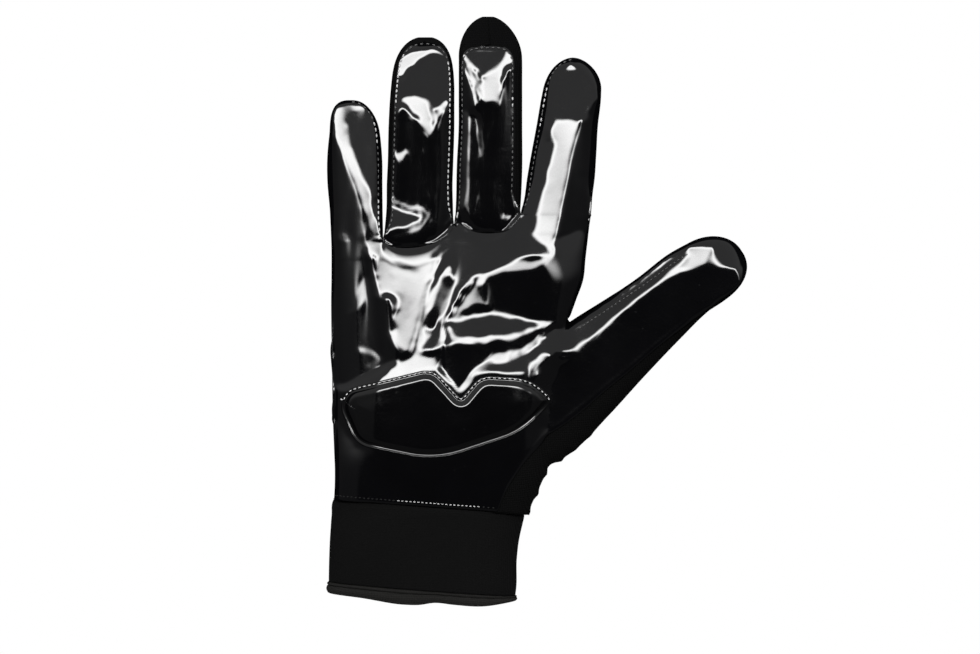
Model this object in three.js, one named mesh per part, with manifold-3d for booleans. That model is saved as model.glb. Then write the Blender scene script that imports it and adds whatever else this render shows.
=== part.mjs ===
// A right-hand lineman football glove, lying on its back with the palm up.
// Millimetres. +X is the thumb side, +Y runs from the cuff to the fingertips, and +Z leaves the palm.
// The origin is on the surface that the glove lies on, under the middle of its outline.
//
// The glove is a hollow shell. Lofted tubes for the hand and its five digits are joined into an outer
// form and an inner one, and the wall between them is cut along the seams into the sewn panels.
import * as THREE from "three";
import { mergeVertices } from "three/addons/utils/BufferGeometryUtils.js";
import Module from "manifold-3d";

const wasm = await Module();
wasm.setup();

// Driving dimensions
const wall = { leather: 1.6, cuff: 2.6, pad: 3.2 };
const gap = 0.3; // between sewn pieces
const seamHeight = {
  front: 17.8, // where the finger faces meet the side strips
  thumb: 15.5, // where the thumb's leather ends on the side towards the fingers
  side: 8.0, // where the palm leather, wrapped round the hand's edge, meets the back
  back: 7.4, // where the side strips meet the back
};
const palmRoundness = 3.0; // superellipse exponents
const digitRoundness = 2.4;
const cuffRoundness = 2.6;
const handSteps = { top: 24, bottom: 10 }; // facets over the palm and under the back
const cuffSteps = { top: 14, bottom: 10 };
const digitSteps = { outside: 9, inside: 6 }; // facets over half a digit
const far = 200; // beyond every part of the glove

// The hand, from the cuff seam to the webs between the fingers. A row is one cross-section: y is its
// place at the middle, skew how much further its thumb end lies, left and right its edges, low and
// high its lowest and highest points. A low below zero is flattened where the back rests. The right
// edge goes in and out at the wrist, where the fabric is gathered.
const handRows = [
  { y: -90.5, skew: -2.6, left: -86.4, right: -6.4, low: -0.6, high: 29.5 },
  { y: -85.0, skew: -2.4, left: -86.2, right: -3.6, low: -0.8, high: 29.8 },
  { y: -81.4, skew: -2.2, left: -86.0, right: -2.6, low: -1.0, high: 30.0 },
  { y: -77.0, skew: -2.0, left: -86.0, right: 1.0, low: -1.0, high: 30.3 },
  { y: -72.0, skew: -1.8, left: -86.0, right: 2.4, low: -1.0, high: 30.7 },
  { y: -68.4, skew: -1.6, left: -86.1, right: 4.9, low: -1.0, high: 31.0 },
  { y: -60.0, skew: -1.5, left: -86.3, right: 6.6, low: -1.0, high: 31.5 },
  { y: -50.0, skew: -1.0, left: -86.8, right: 7.6, low: -1.0, high: 32.2 },
  { y: -40.0, skew: -0.5, left: -87.2, right: 8.4, low: -1.0, high: 32.4 },
  { y: -31.0, skew: 0.0, left: -87.3, right: 9.2, low: -1.0, high: 31.6 },
  { y: -22.0, skew: 0.5, left: -87.4, right: 10.2, low: -1.0, high: 30.4 },
  { y: -13.0, skew: 1.0, left: -87.5, right: 11.4, low: -1.0, high: 29.4 },
  { y: -5.0, skew: 1.2, left: -87.6, right: 13.6, low: -1.0, high: 29.0 },
  { y: 4.0, skew: 1.5, left: -87.7, right: 17.0, low: -1.0, high: 28.8 },
  { y: 12.5, skew: 2.0, left: -87.7, right: 20.0, low: -0.8, high: 28.0 },
  { y: 20.5, skew: 2.5, left: -87.7, right: 21.2, low: -0.4, high: 26.2 },
  { y: 27.5, skew: 3.2, left: -87.4, right: 21.8, low: 0.6, high: 23.6 },
  { y: 32.2, skew: 3.6, left: -86.0, right: 20.5, low: 3.4, high: 21.2 },
  { y: 34.6, skew: 3.6, left: -82.5, right: 16.5, low: 7.0, high: 17.6 },
];
const foldedRows = { from: -31.0, to: 27.5 }; // rows that get one more between them, for the folds

// The digits. Each has an axis in the plane, from base in the direction angle (degrees from +X), and
// rows along it: along is the distance from the base, side the middle's offset to the thumb side of
// the axis, half the half width, low and high as above. The first row of each is inside the hand.
const digits = {
  pinky: {
    base: [-77.6, 8.0],
    angle: 90,
    rows: [
      { along: 0.0, side: 1.0, half: 6.8, low: 7.0, high: 18.0 },
      { along: 22.0, side: 0.3, half: 10.4, low: 1.2, high: 21.4 },
      { along: 38.0, side: 0.1, half: 11.4, low: -0.4, high: 20.8 },
      { along: 54.8, side: -0.1, half: 12.0, low: -0.4, high: 20.6 },
      { along: 68.5, side: -0.4, half: 11.3, low: 1.2, high: 20.6 },
      { along: 75.4, side: -0.5, half: 10.2, low: 2.8, high: 20.2 },
      { along: 79.4, side: -0.9, half: 7.6, low: 5.4, high: 19.0 },
      { along: 81.6, side: -1.1, half: 4.4, low: 8.2, high: 16.8 },
    ],
    tip: 82.4,
  },
  ring: {
    base: [-50.0, 12.0],
    angle: 90,
    rows: [
      { along: 0.0, side: 0.0, half: 9.0, low: 6.0, high: 19.0 },
      { along: 20.0, side: -0.6, half: 13.4, low: 0.6, high: 22.0 },
      { along: 37.0, side: -0.2, half: 14.0, low: -0.5, high: 21.2 },
      { along: 59.0, side: 0.2, half: 14.3, low: -0.4, high: 20.8 },
      { along: 82.0, side: 1.1, half: 14.0, low: 0.8, high: 20.8 },
      { along: 92.0, side: 1.4, half: 13.2, low: 2.2, high: 20.7 },
      { along: 99.0, side: 1.7, half: 11.2, low: 4.2, high: 20.2 },
      { along: 103.2, side: 1.8, half: 7.9, low: 6.8, high: 18.6 },
      { along: 105.0, side: 1.8, half: 4.6, low: 9.2, high: 16.8 },
    ],
    tip: 105.6,
  },
  middle: {
    base: [-20.0, 14.0],
    angle: 90,
    rows: [
      { along: 0.0, side: -0.2, half: 9.0, low: 6.0, high: 19.0 },
      { along: 21.0, side: -0.4, half: 13.6, low: 0.6, high: 22.4 },
      { along: 42.0, side: -0.1, half: 14.2, low: -0.5, high: 21.6 },
      { along: 68.0, side: 0.1, half: 14.2, low: -0.4, high: 21.2 },
      { along: 93.5, side: 0.4, half: 14.1, low: 1.2, high: 21.2 },
      { along: 100.5, side: 0.3, half: 12.9, low: 2.6, high: 20.8 },
      { along: 106.5, side: 0.0, half: 10.6, low: 4.8, high: 20.0 },
      { along: 110.6, side: -0.2, half: 7.2, low: 7.4, high: 18.4 },
      { along: 112.2, side: -0.2, half: 4.2, low: 9.6, high: 16.6 },
    ],
    tip: 112.9,
  },
  index: {
    base: [4.1, 10.0],
    angle: 82.25,
    rows: [
      { along: 0.0, side: 0.0, half: 9.5, low: 6.0, high: 19.0 },
      { along: 20.0, side: 0.0, half: 14.6, low: 0.8, high: 22.4 },
      { along: 39.0, side: 0.0, half: 14.6, low: -0.5, high: 21.6 },
      { along: 60.0, side: 0.1, half: 13.8, low: -0.4, high: 21.2 },
      { along: 84.0, side: 0.2, half: 13.0, low: 1.6, high: 21.0 },
      { along: 90.0, side: 0.1, half: 11.9, low: 3.2, high: 20.6 },
      { along: 94.8, side: -0.2, half: 9.0, low: 5.4, high: 19.6 },
      { along: 98.0, side: -0.3, half: 5.2, low: 8.4, high: 17.4 },
    ],
    tip: 99.3,
  },
  thumb: {
    base: [-18.0, -50.6],
    angle: 33.3,
    rows: [
      { along: 0.0, side: 6.0, half: 15.0, low: 4.6, high: 25.0 },
      { along: 21.0, side: 3.1, half: 22.1, low: 0.8, high: 28.6 },
      { along: 44.0, side: 1.2, half: 20.7, low: 0.2, high: 28.0 },
      { along: 66.0, side: -1.2, half: 18.6, low: 0.4, high: 26.0 },
      { along: 87.0, side: -3.9, half: 16.4, low: 1.2, high: 23.6 },
      { along: 104.0, side: -6.2, half: 15.4, low: 2.6, high: 22.6 },
      { along: 112.0, side: -6.2, half: 14.7, low: 3.8, high: 22.0 },
      { along: 119.0, side: -5.1, half: 13.0, low: 5.4, high: 21.4 },
      { along: 125.0, side: -5.2, half: 10.0, low: 7.4, high: 19.8 },
      { along: 129.2, side: -6.4, half: 5.6, low: 10.0, high: 17.2 },
    ],
    tip: 130.6,
  },
};

// Folds pressed into the palm's top, as straight hollows (negative) or swells from one point to
// another: width is the half width at the first point, taper its share at the second.
const palmFolds = [
  { name: "cup of the palm", from: [-62, -2], to: [-16, -8], width: 18, taper: 1.0, height: -3.2 },
  { name: "thumb fold", from: [10, -5], to: [-34, -9], width: 4.5, taper: 1.8, height: -2.8 },
  { name: "palm crease", from: [-40, 14], to: [-46, -14], width: 5, taper: 1.4, height: -2.2 },
  { name: "swell under the index", from: [0, 4], to: [-16, 4], width: 9, taper: 0.9, height: 1.8 },
  { name: "swell by the little finger", from: [-76, 20], to: [-74, -26], width: 9, taper: 1, height: 1.2 },
];

// Where the palm leather ends beside the thumb, from the thumb's tip to the cuff seam
const thumbSeam = [
  [94, 12],
  [82.5, 4.8],
  [62, -12.5],
  [44.5, -27],
  [26, -40.5],
  [7, -53.4],
  [-5, -64.5],
  [-12, -75],
  [-17, -85.6],
];
const cuffSeam = { left: [-95, -80.2], right: [8, -86.8] }; // the line that the cuff is sewn along

// The cuff and its hem, with the same columns as the hand
const cuffRows = [
  { y: -118.4, skew: -2.6, left: -89.4, right: -8.0, low: -0.5, high: 31.0 },
  { y: -112.0, skew: -2.8, left: -89.4, right: -7.6, low: -0.5, high: 31.0 },
  { y: -102.0, skew: -3.0, left: -88.9, right: -7.4, low: -0.5, high: 30.8 },
  { y: -92.0, skew: -2.9, left: -88.2, right: -5.8, low: -0.5, high: 30.6 },
  { y: -83.7, skew: -2.8, left: -87.6, right: -3.2, low: -0.5, high: 30.2 },
];
const hem = { top: -118.7, bottom: -123.9, skew: -2.4, swell: 0.4 };

// The heel pad's outline on the palm, each corner with the distance at which its rounding starts
const heelPadCorners = [
  { x: -84.8, y: -42.0, round: 3 },
  { x: -82.0, y: -33.8, round: 4 },
  { x: -44.4, y: -24.6, round: 3 },
  { x: -32.4, y: -37.0, round: 0 },
  { x: -24.6, y: -28.0, round: 3 },
  { x: -2.0, y: -28.8, round: 7 },
  { x: 8.4, y: -38.4, round: 4 },
  { x: -6.0, y: -52.8, round: 9 },
  { x: -43.0, y: -65.0, round: 10 },
  { x: -77.4, y: -58.0, round: 5 },
];

const colour = {
  gloss: new THREE.MeshStandardMaterial({ color: 0x0b0b0d, roughness: 0.12, metalness: 0 }),
  pad: new THREE.MeshStandardMaterial({ color: 0x0a0a0c, roughness: 0.16, metalness: 0 }),
  knit: new THREE.MeshStandardMaterial({ color: 0x121213, roughness: 0.85, metalness: 0 }),
  side: new THREE.MeshStandardMaterial({ color: 0x0f0f10, roughness: 0.7, metalness: 0 }),
  cuff: new THREE.MeshStandardMaterial({ color: 0x141415, roughness: 0.9, metalness: 0 }),
  hem: new THREE.MeshStandardMaterial({ color: 0x1d1a18, roughness: 0.6, metalness: 0 }),
};

// Turns vertices and triangles into a solid.
function solidFrom(positions, indices) {
  const geometry = new THREE.BufferGeometry()
    .setAttribute("position", new THREE.Float32BufferAttribute(positions, 3))
    .setIndex(indices);
  const merged = mergeVertices(geometry, 1e-4);
  const mesh = new wasm.Mesh({
    numProp: 3,
    vertProperties: new Float32Array(merged.attributes.position.array),
    triVerts: new Uint32Array(merged.index.array),
  });
  return new wasm.Manifold(mesh);
}

const join = (solids) => solids.reduce((sum, solid) => sum.add(solid));

// The largest body of a solid: a cut along a seam may leave specks beside it.
function largest(solid) {
  return solid.decompose().reduce((best, body) => (body.volume() > best.volume() ? body : best));
}

// Skins a stack of rings, each the same number of points, into a closed solid. The rings run
// clockwise as seen from the last one, and each end is closed by a fan to a point.
function skin(rings, firstPoint, lastPoint) {
  const sides = rings[0].length;
  const positions = [...rings.flat(2), ...firstPoint, ...lastPoint];
  const first = rings.length * sides;
  const last = first + 1;
  const indices = [];
  for (let r = 0; r + 1 < rings.length; r++)
    for (let k = 0; k < sides; k++) {
      const a = r * sides + k;
      const b = r * sides + ((k + 1) % sides);
      indices.push(a, b + sides, b, a, a + sides, b + sides);
    }
  const top = (rings.length - 1) * sides;
  for (let k = 0; k < sides; k++) {
    const next = (k + 1) % sides;
    indices.push(first, k, next, last, top + next, top + k);
  }
  return solidFrom(positions, indices);
}

// A prism over an outline in the plane, between two heights.
function prism(outline, low, high) {
  const shape = new THREE.Shape(outline.map(([x, y]) => new THREE.Vector2(x, y)));
  const geometry = new THREE.ExtrudeGeometry(shape, { depth: high - low, bevelEnabled: false });
  geometry.translate(0, 0, low);
  geometry.deleteAttribute("normal");
  geometry.deleteAttribute("uv");
  const merged = mergeVertices(geometry, 1e-4);
  return solidFrom([...merged.attributes.position.array], [...merged.index.array]);
}

const slab = (low, high) => prism([[-far, -far], [far, -far], [far, far], [-far, far]], low, high);

// Half of a cross-section: shares of the half width and of the height, from the thumb side's edge
// over the top, or back under it. A superellipse, |x|^n + |z|^n = 1, stepped evenly in angle.
function halfSection(steps, roundness, side) {
  const points = [];
  for (let k = 0; k < steps; k++) {
    const across = Math.cos((Math.PI * k) / steps) * side;
    const up = Math.pow(1 - Math.pow(Math.abs(across), roundness), 1 / roundness) * side;
    points.push([across, up]);
  }
  return points;
}

// The height that the palm's folds add at a place.
function foldHeight(x, y) {
  let sum = 0;
  for (const fold of palmFolds) {
    const run = [fold.to[0] - fold.from[0], fold.to[1] - fold.from[1]];
    const length2 = run[0] ** 2 + run[1] ** 2;
    const share = ((x - fold.from[0]) * run[0] + (y - fold.from[1]) * run[1]) / length2;
    const t = Math.min(1, Math.max(0, share));
    const off = Math.hypot(x - fold.from[0] - t * run[0], y - fold.from[1] - t * run[1]);
    const width = fold.width * (1 + (fold.taper - 1) * t);
    sum += fold.height * Math.exp(-((off / width) ** 2));
  }
  return sum;
}

// One cross-section of the hand or the cuff, moved out by grow (in, if negative).
function handRing(row, grow, steps, roundness, folded) {
  const middle = (row.left + row.right) / 2;
  const half = (row.right - row.left) / 2 + grow;
  const level = (row.low + row.high) / 2;
  const high = (row.high - row.low) / 2 + grow;
  const section = [
    ...halfSection(steps.top, roundness, 1),
    ...halfSection(steps.bottom, roundness, -1),
  ];
  return section.map(([across, up]) => {
    const x = middle + half * across;
    const y = row.y + row.skew * across;
    const fold = folded && up > 0 ? foldHeight(x, y) * up ** 2 : 0;
    return [x, y, level + high * up + fold];
  });
}

function handTube(rows, grow, steps, roundness, folded = false) {
  const rings = rows.map((row) => handRing(row, grow, steps, roundness, folded));
  const ends = [rows[0], rows.at(-1)].map((row) => [
    (row.left + row.right) / 2,
    row.y,
    (row.low + row.high) / 2,
  ]);
  return skin(rings, ends[0], ends[1]);
}

// The hand's rows, with one more halfway between two that carry folds.
function closeRows(rows) {
  return rows.flatMap((row, k) => {
    if (row.y < foldedRows.from || row.y >= foldedRows.to) return [row];
    const next = rows[k + 1];
    const between = Object.keys(row).map((key) => [key, (row[key] + next[key]) / 2]);
    return [row, Object.fromEntries(between)];
  });
}

// A digit's tube, moved out by grow, with its rounded tip.
function digitTube(digit, grow, steps) {
  const angle = THREE.MathUtils.degToRad(digit.angle);
  const along = [Math.cos(angle), Math.sin(angle)];
  const across = [Math.sin(angle), -Math.cos(angle)];
  const place = (a, s) => [
    digit.base[0] + a * along[0] + s * across[0],
    digit.base[1] + a * along[1] + s * across[1],
  ];
  const section = [
    ...halfSection(steps, digitRoundness, 1),
    ...halfSection(steps, digitRoundness, -1),
  ];
  const reach = (digit.tip + grow) / digit.tip;
  const rows = digit.rows.filter((row) => row.half + grow > wall.cuff);
  const rings = rows.map((row) =>
    section.map(([s, up]) => {
      const [x, y] = place(row.along * reach, row.side + (row.half + grow) * s);
      const level = (row.low + row.high) / 2;
      return [x, y, level + ((row.high - row.low) / 2 + grow) * up];
    }),
  );
  const end = (row, at) => [...place(at, row.side), (row.low + row.high) / 2];
  return skin(rings, end(rows[0], rows[0].along * reach), end(rows.at(-1), digit.tip + grow));
}

// The whole outer form, moved out by grow and flattened where it rests
function outerForm(grow) {
  const form = join([
    handTube(closeRows(handRows), grow, handSteps, palmRoundness, true),
    ...Object.values(digits).map((digit) => digitTube(digit, grow, digitSteps.outside)),
  ]);
  return form.intersect(slab(0, far));
}

// The hollow that the hand goes into, which starts past the cuff seam
function innerForm() {
  const runOut = 6;
  const rows = [{ ...handRows[0], y: handRows[0].y - runOut }, ...handRows.slice(1, -1)];
  const form = join([
    handTube(rows, -wall.leather, { top: 16, bottom: 8 }, palmRoundness, true),
    ...Object.values(digits).map((digit) => digitTube(digit, -wall.leather, digitSteps.inside)),
  ]);
  return form.intersect(slab(wall.leather, far));
}

const aboveCuffSeam = prism(
  [
    cuffSeam.left,
    cuffSeam.right,
    [far, cuffSeam.right[1]],
    [far, far],
    [-far, far],
    [-far, cuffSeam.left[1]],
  ],
  -far,
  far,
);
const shell = outerForm(0).subtract(innerForm()).intersect(aboveCuffSeam);

// The side strips stand between two fingers, from their backs to the seams on their faces. y is the
// strip's lower end, at the web.
const webs = [
  { name: "side_strip_pinky_ring", fingers: ["pinky", "ring"], y: 24.0 },
  { name: "side_strip_ring_middle", fingers: ["ring", "middle"], y: 29.0 },
  { name: "side_strip_middle_index", fingers: ["middle", "index"], y: 31.0 },
];

// A strip's outline between its fingers' middle lines, taken in by inset.
function webOutline(web, inset) {
  const [from, to] = web.fingers.map((name) => {
    const digit = digits[name];
    const slope = Math.tan(THREE.MathUtils.degToRad(90 - digit.angle));
    const side = digit.rows.at(-1).side;
    return [web.y, far].map((y) => [digit.base[0] + side + (y - digit.base[1]) * slope, y]);
  });
  return [
    [from[0][0] + inset, web.y + inset],
    [to[0][0] - inset, web.y + inset],
    [to[1][0] - inset, far],
    [from[1][0] + inset, far],
  ];
}

const stripZone = (web, inset, low) => prism(webOutline(web, inset), low, far);

// The half of the thumb that faces the fingers, from the crotch to past its tip, moved by shift
function thumbInnerSide(shift) {
  const angle = THREE.MathUtils.degToRad(digits.thumb.angle);
  const axisPoint = (at, side) => [
    digits.thumb.base[0] + at * Math.cos(angle) + side * Math.sin(angle),
    digits.thumb.base[1] + at * Math.sin(angle) - side * Math.cos(angle) - shift,
  ];
  return [[15.5, -4.5 - shift], axisPoint(70, 0), axisPoint(150, -6), [110, 80], [34, 30]];
}

// What lies past the palm leather's edge beside the thumb, moved towards the palm by shift
const thumbOuterSide = (shift) => [
  ...thumbSeam.map(([x, y]) => [x - shift * 0.7, y + shift * 0.7]),
  [thumbSeam.at(-1)[0] - shift, -far],
  [far, -far],
  [far, thumbSeam[0][1] + shift],
];

// What lies on the back's side of the palm leather's seams, moved towards the palm by shift
function backSide(shift) {
  return join([
    slab(-far, seamHeight.side + shift),
    prism(thumbOuterSide(shift), -far, far),
    prism(thumbInnerSide(shift), -far, seamHeight.thumb + shift),
    ...webs.map((web) => prism(webOutline(web, -shift), -far, seamHeight.front + shift)),
  ]);
}

// The faces of the ring and middle fingers, each with the round seam at its base: y is the height of
// that seam's ends, and sag how far its middle lies below them.
const fingerFaces = [
  { name: "ring_face", left: -65.2, right: -35.0, y: 34.4, sag: 6.0 },
  { name: "middle_face", left: -34.6, right: -5.2, y: 38.0, sag: 7.0 },
];

function faceOutline(face, grow) {
  const points = [];
  const steps = 12;
  const middle = (face.left + face.right) / 2;
  const half = (face.right - face.left) / 2 + grow;
  for (let k = 0; k <= steps; k++) {
    const share = (2 * k) / steps - 1;
    points.push([middle + half * share, face.y - face.sag * (1 - share * share) - grow]);
  }
  return [...points, [face.right + grow, far], [face.left - grow, far]];
}

const faceZone = (face, grow) => prism(faceOutline(face, grow), wall.leather, far);
const palmAndFaces = shell.subtract(backSide(gap));
const backAndStrips = shell.intersect(backSide(0));
const palm = palmAndFaces.subtract(join(fingerFaces.map((face) => faceZone(face, gap))));
const back = backAndStrips.subtract(
  join(webs.map((web) => stripZone(web, -gap / 2, seamHeight.back - gap))),
);

// An outline through corners, each rounded by a curve that starts at its distance from the corner.
function roundedOutline(corners) {
  const path = new THREE.Path();
  const at = (corner) => new THREE.Vector2(corner.x, corner.y);
  corners.forEach((corner, k) => {
    const before = at(corners.at(k - 1));
    const after = at(corners[(k + 1) % corners.length]);
    const here = at(corner);
    const start = here.clone().add(before.sub(here).setLength(corner.round));
    const end = here.clone().add(after.sub(here).setLength(corner.round));
    if (k === 0) path.moveTo(start.x, start.y);
    else path.lineTo(start.x, start.y);
    if (corner.round > 0) path.quadraticCurveTo(here.x, here.y, end.x, end.y);
  });
  const points = path.getPoints(4).map((point) => [point.x, point.y]);
  return points.reverse(); // anticlockwise
}

// The padded patch over the heel of the palm: a layer on the outer form, inside its outline
const heelPad = outerForm(wall.pad)
  .intersect(prism(roundedOutline(heelPadCorners), seamHeight.front, far))
  .subtract(outerForm(gap));

// The cuff's tube, moved out by grow, and run on past the hem and past the seam.
function cuffTube(grow, pastHem, pastSeam) {
  const rows = [...cuffRows];
  rows[0] = { ...rows[0], y: rows[0].y - pastHem };
  rows[rows.length - 1] = { ...rows.at(-1), y: rows.at(-1).y + pastSeam };
  return handTube(rows, grow, cuffSteps, cuffRoundness);
}

const belowCuffSeam = prism(
  [
    [-far, cuffSeam.left[1] - gap],
    [-far, -far],
    [far, -far],
    [far, cuffSeam.right[1] - gap],
    [cuffSeam.right[0], cuffSeam.right[1] - gap],
    [cuffSeam.left[0], cuffSeam.left[1] - gap],
  ],
  0,
  far,
);
const cuffHollow = cuffTube(-wall.cuff, 6, 10).intersect(slab(wall.cuff, far));
const cuff = cuffTube(0, 0, 6).subtract(cuffHollow).intersect(belowCuffSeam);

// The hem is a band round the cuff's mouth, fuller at its middle.
function hemBand() {
  const edge = cuffRows[0];
  const row = (y, swell) => ({
    y,
    skew: hem.skew,
    left: edge.left - swell,
    right: edge.right + swell,
    low: edge.low,
    high: edge.high + swell,
  });
  const middle = (hem.top + hem.bottom) / 2;
  const rows = [row(hem.bottom, 0), row(middle, hem.swell), row(hem.top, 0)];
  const inside = [row(hem.bottom - wall.cuff, 0), row(hem.top + wall.cuff, 0)];
  const hollow = handTube(inside, -wall.cuff, cuffSteps, cuffRoundness);
  return handTube(rows, 0, cuffSteps, cuffRoundness)
    .subtract(hollow.intersect(slab(wall.cuff, far)))
    .intersect(slab(0, far));
}

const glove = new THREE.Group();

// Adds a solid as a named mesh.
function addPiece(name, solid, material) {
  const mesh = largest(solid).getMesh();
  const count = mesh.numProp;
  const positions = [];
  for (let i = 0; i < mesh.numVert; i++)
    positions.push(...mesh.vertProperties.subarray(i * count, i * count + 3));
  const geometry = new THREE.BufferGeometry()
    .setAttribute("position", new THREE.Float32BufferAttribute(positions, 3))
    .setIndex([...mesh.triVerts]);
  geometry.computeVertexNormals();
  const piece = new THREE.Mesh(geometry, material);
  piece.name = name;
  glove.add(piece);
}

addPiece("palm_leather", palm, colour.gloss);
for (const face of fingerFaces)
  addPiece(face.name, palmAndFaces.intersect(faceZone(face, 0)), colour.gloss);
for (const web of webs)
  addPiece(web.name, backAndStrips.intersect(stripZone(web, gap / 2, seamHeight.back)), colour.side);
addPiece("back_panel", back, colour.knit);
addPiece("heel_pad", heelPad, colour.pad);
addPiece("cuff", cuff, colour.cuff);
addPiece("cuff_hem", hemBand(), colour.hem);

export default glove;
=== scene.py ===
# Lineman football glove, palm up: gloss leather palm, matt fabric back and cuff.
# Shapes are worked out in millimetres in the frame's own axes, and put into meshes in metres.
import bpy
import numpy as np
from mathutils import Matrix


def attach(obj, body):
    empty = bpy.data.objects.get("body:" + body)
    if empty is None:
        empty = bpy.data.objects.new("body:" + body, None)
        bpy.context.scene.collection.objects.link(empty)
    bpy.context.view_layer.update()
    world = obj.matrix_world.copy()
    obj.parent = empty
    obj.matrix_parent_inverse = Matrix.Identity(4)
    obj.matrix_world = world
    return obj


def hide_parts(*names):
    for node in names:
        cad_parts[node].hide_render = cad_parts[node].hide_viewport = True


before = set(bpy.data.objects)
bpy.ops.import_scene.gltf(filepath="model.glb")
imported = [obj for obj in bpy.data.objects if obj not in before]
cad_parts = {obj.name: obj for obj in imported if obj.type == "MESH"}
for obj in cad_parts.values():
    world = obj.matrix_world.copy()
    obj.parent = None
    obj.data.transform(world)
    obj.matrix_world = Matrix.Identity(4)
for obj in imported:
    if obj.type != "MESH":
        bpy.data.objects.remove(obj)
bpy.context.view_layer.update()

mm = 0.001
tiny = 1e-3  # keeps a division away from 0
hair = 1e-6  # counts a value that rounding moved as equal
far = 1e9  # a distance longer than any on the glove
print("frame loaded")


# small maths
def ease(t):
    # 6t^5 - 15t^4 + 10t^3, from 0 to 1 with level ends
    t = np.clip(t, 0, 1)
    return t * t * t * (t * (6 * t - 15) + 10)


def mix(a, b, t):
    # a + (b - a) t: from a to b as t goes from 0 to 1
    return a + (b - a) * t


def crowded(r, power):
    # 1 - (1 - r)^power: shares from 0 to 1 that lie closer together towards 1
    return 1 - (1 - r) ** power


def rowOf(count):
    # count even shares from 0 to 1, across a grid
    return np.linspace(0, 1, count)[None, :]


def columnOf(count):
    # count even shares from 0 to 1, down a grid
    return np.linspace(0, 1, count)[:, None]


def softMax(a, b, k):
    # k ln(e^(a/k) + e^(b/k)): the larger of two heights, with the crease between them filled
    return k * np.logaddexp(a / k, b / k)


archFall = 5  # how steeply a section drops past its side


def arch(a, power):
    # (1 - |a|^n)^(1/n): height share of a superellipse at share a of its half width, dropping off past it
    inside = np.power(np.clip(1 - np.abs(a) ** power, 0, None), 1 / power)
    return inside - archFall * np.clip(np.abs(a) - 1, 0, None)


def table(rows, key, at, by="y"):
    # cubic Hermite through a table's rows, slopes from their neighbours, level past its ends
    places = np.array([row[by] for row in rows], float)
    values = np.array([row[key] for row in rows], float)
    slopes = np.gradient(values, places)
    at = np.clip(at, places[0], places[-1])
    i = np.clip(np.searchsorted(places, at, side="right") - 1, 0, len(places) - 2)
    step = places[i + 1] - places[i]
    t = (at - places[i]) / step
    return (values[i] * (2 * t**3 - 3 * t**2 + 1) + values[i + 1] * (3 * t**2 - 2 * t**3)
            + slopes[i] * step * (t**3 - 2 * t**2 + t) + slopes[i + 1] * step * (t**3 - t**2))


def capShare(at, start, tip, power):
    # (1 - q^m)^(1/m), q running from 0 at the cap's start to 1 at the tip
    q = np.clip((at - start) / (tip - start), 0, 1)
    return np.power(1 - q**power, 1 / power)


def evenly(pts, count):
    # points at equal steps of length along a polyline
    run = np.concatenate([[0], np.cumsum(np.linalg.norm(np.diff(pts, axis=0), axis=1))])
    at = np.linspace(0, run[-1], count)
    return np.stack([np.interp(at, run, pts[:, k]) for k in range(pts.shape[1])], axis=-1)


# meshes
def gridQuads(rows, cols, start=0):
    # corner numbers of a grid's quads, going round (i, j), (i, j+1), (i+1, j+1), (i+1, j)
    k = np.arange(rows * cols).reshape(rows, cols) + start
    return np.stack([k[:-1, :-1], k[:-1, 1:], k[1:, 1:], k[1:, :-1]], axis=-1).reshape(-1, 4)


def makeMesh(name, grids, material, flip=False, weld=0.004):
    # joins point grids (rows, cols, 3) in mm into one mesh. Points in the same cell of a lattice weld mm wide
    # become one, and a quad that two welded corners leave with three is a triangle, as at a pole.
    points = np.concatenate([g.reshape(-1, 3) for g in grids])
    quads, start = [], 0
    for g in grids:
        quads.append(gridQuads(g.shape[0], g.shape[1], start))
        start += g.shape[0] * g.shape[1]
    quads = np.concatenate(quads)
    if flip:
        quads = quads[:, ::-1]
    keys = np.round(points / weld).astype(np.int64)
    unique, first, inverse = np.unique(keys, axis=0, return_index=True, return_inverse=True)
    quads = inverse.reshape(-1)[quads]
    points = points[first] * mm
    distinct = (quads != np.roll(quads, 1, axis=1)).sum(axis=1)
    faces = quads[distinct == 4].tolist()
    for q in quads[distinct == 3].tolist():
        faces.append([v for k, v in enumerate(q) if v != q[k - 1]])
    mesh = bpy.data.meshes.new(name)
    mesh.from_pydata(points, [], faces)
    mesh.update()
    mesh.materials.append(material)
    mesh.shade_smooth()
    obj = bpy.data.objects.new(name, mesh)
    bpy.context.collection.objects.link(obj)
    return obj


def thicken(obj, depth):
    # a wall of the given depth behind the surface: each point goes back by depth along its normal
    wall = obj.modifiers.new("wall", "SOLIDIFY")
    wall.thickness = depth * mm
    wall.offset = -1
    wall.use_even_offset = False
    return obj


# finishes
class Wire:
    # a socket whose arithmetic adds Math nodes, also with a plain number on either side
    def __init__(self, nodes, socket):
        self.nodes, self.socket = nodes, socket

    def math(self, operation, *values):
        # the operation on the values, in their order
        return self.nodes.add("Math", {"operation": operation}, dict(enumerate(values)))

    def __add__(self, other): return self.math("ADD", self, other)  # self + other
    def __radd__(self, other): return self.math("ADD", other, self)  # other + self
    def __sub__(self, other): return self.math("SUBTRACT", self, other)  # self - other
    def __rsub__(self, other): return self.math("SUBTRACT", other, self)  # other - self
    def __mul__(self, other): return self.math("MULTIPLY", self, other)  # self x other
    def __rmul__(self, other): return self.math("MULTIPLY", other, self)  # other x self
    def __truediv__(self, other): return self.math("DIVIDE", self, other)  # self / other
    def sine(self): return self.math("SINE", self)  # of an angle in radians
    def root(self): return self.math("SQRT", self)  # square root


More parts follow.
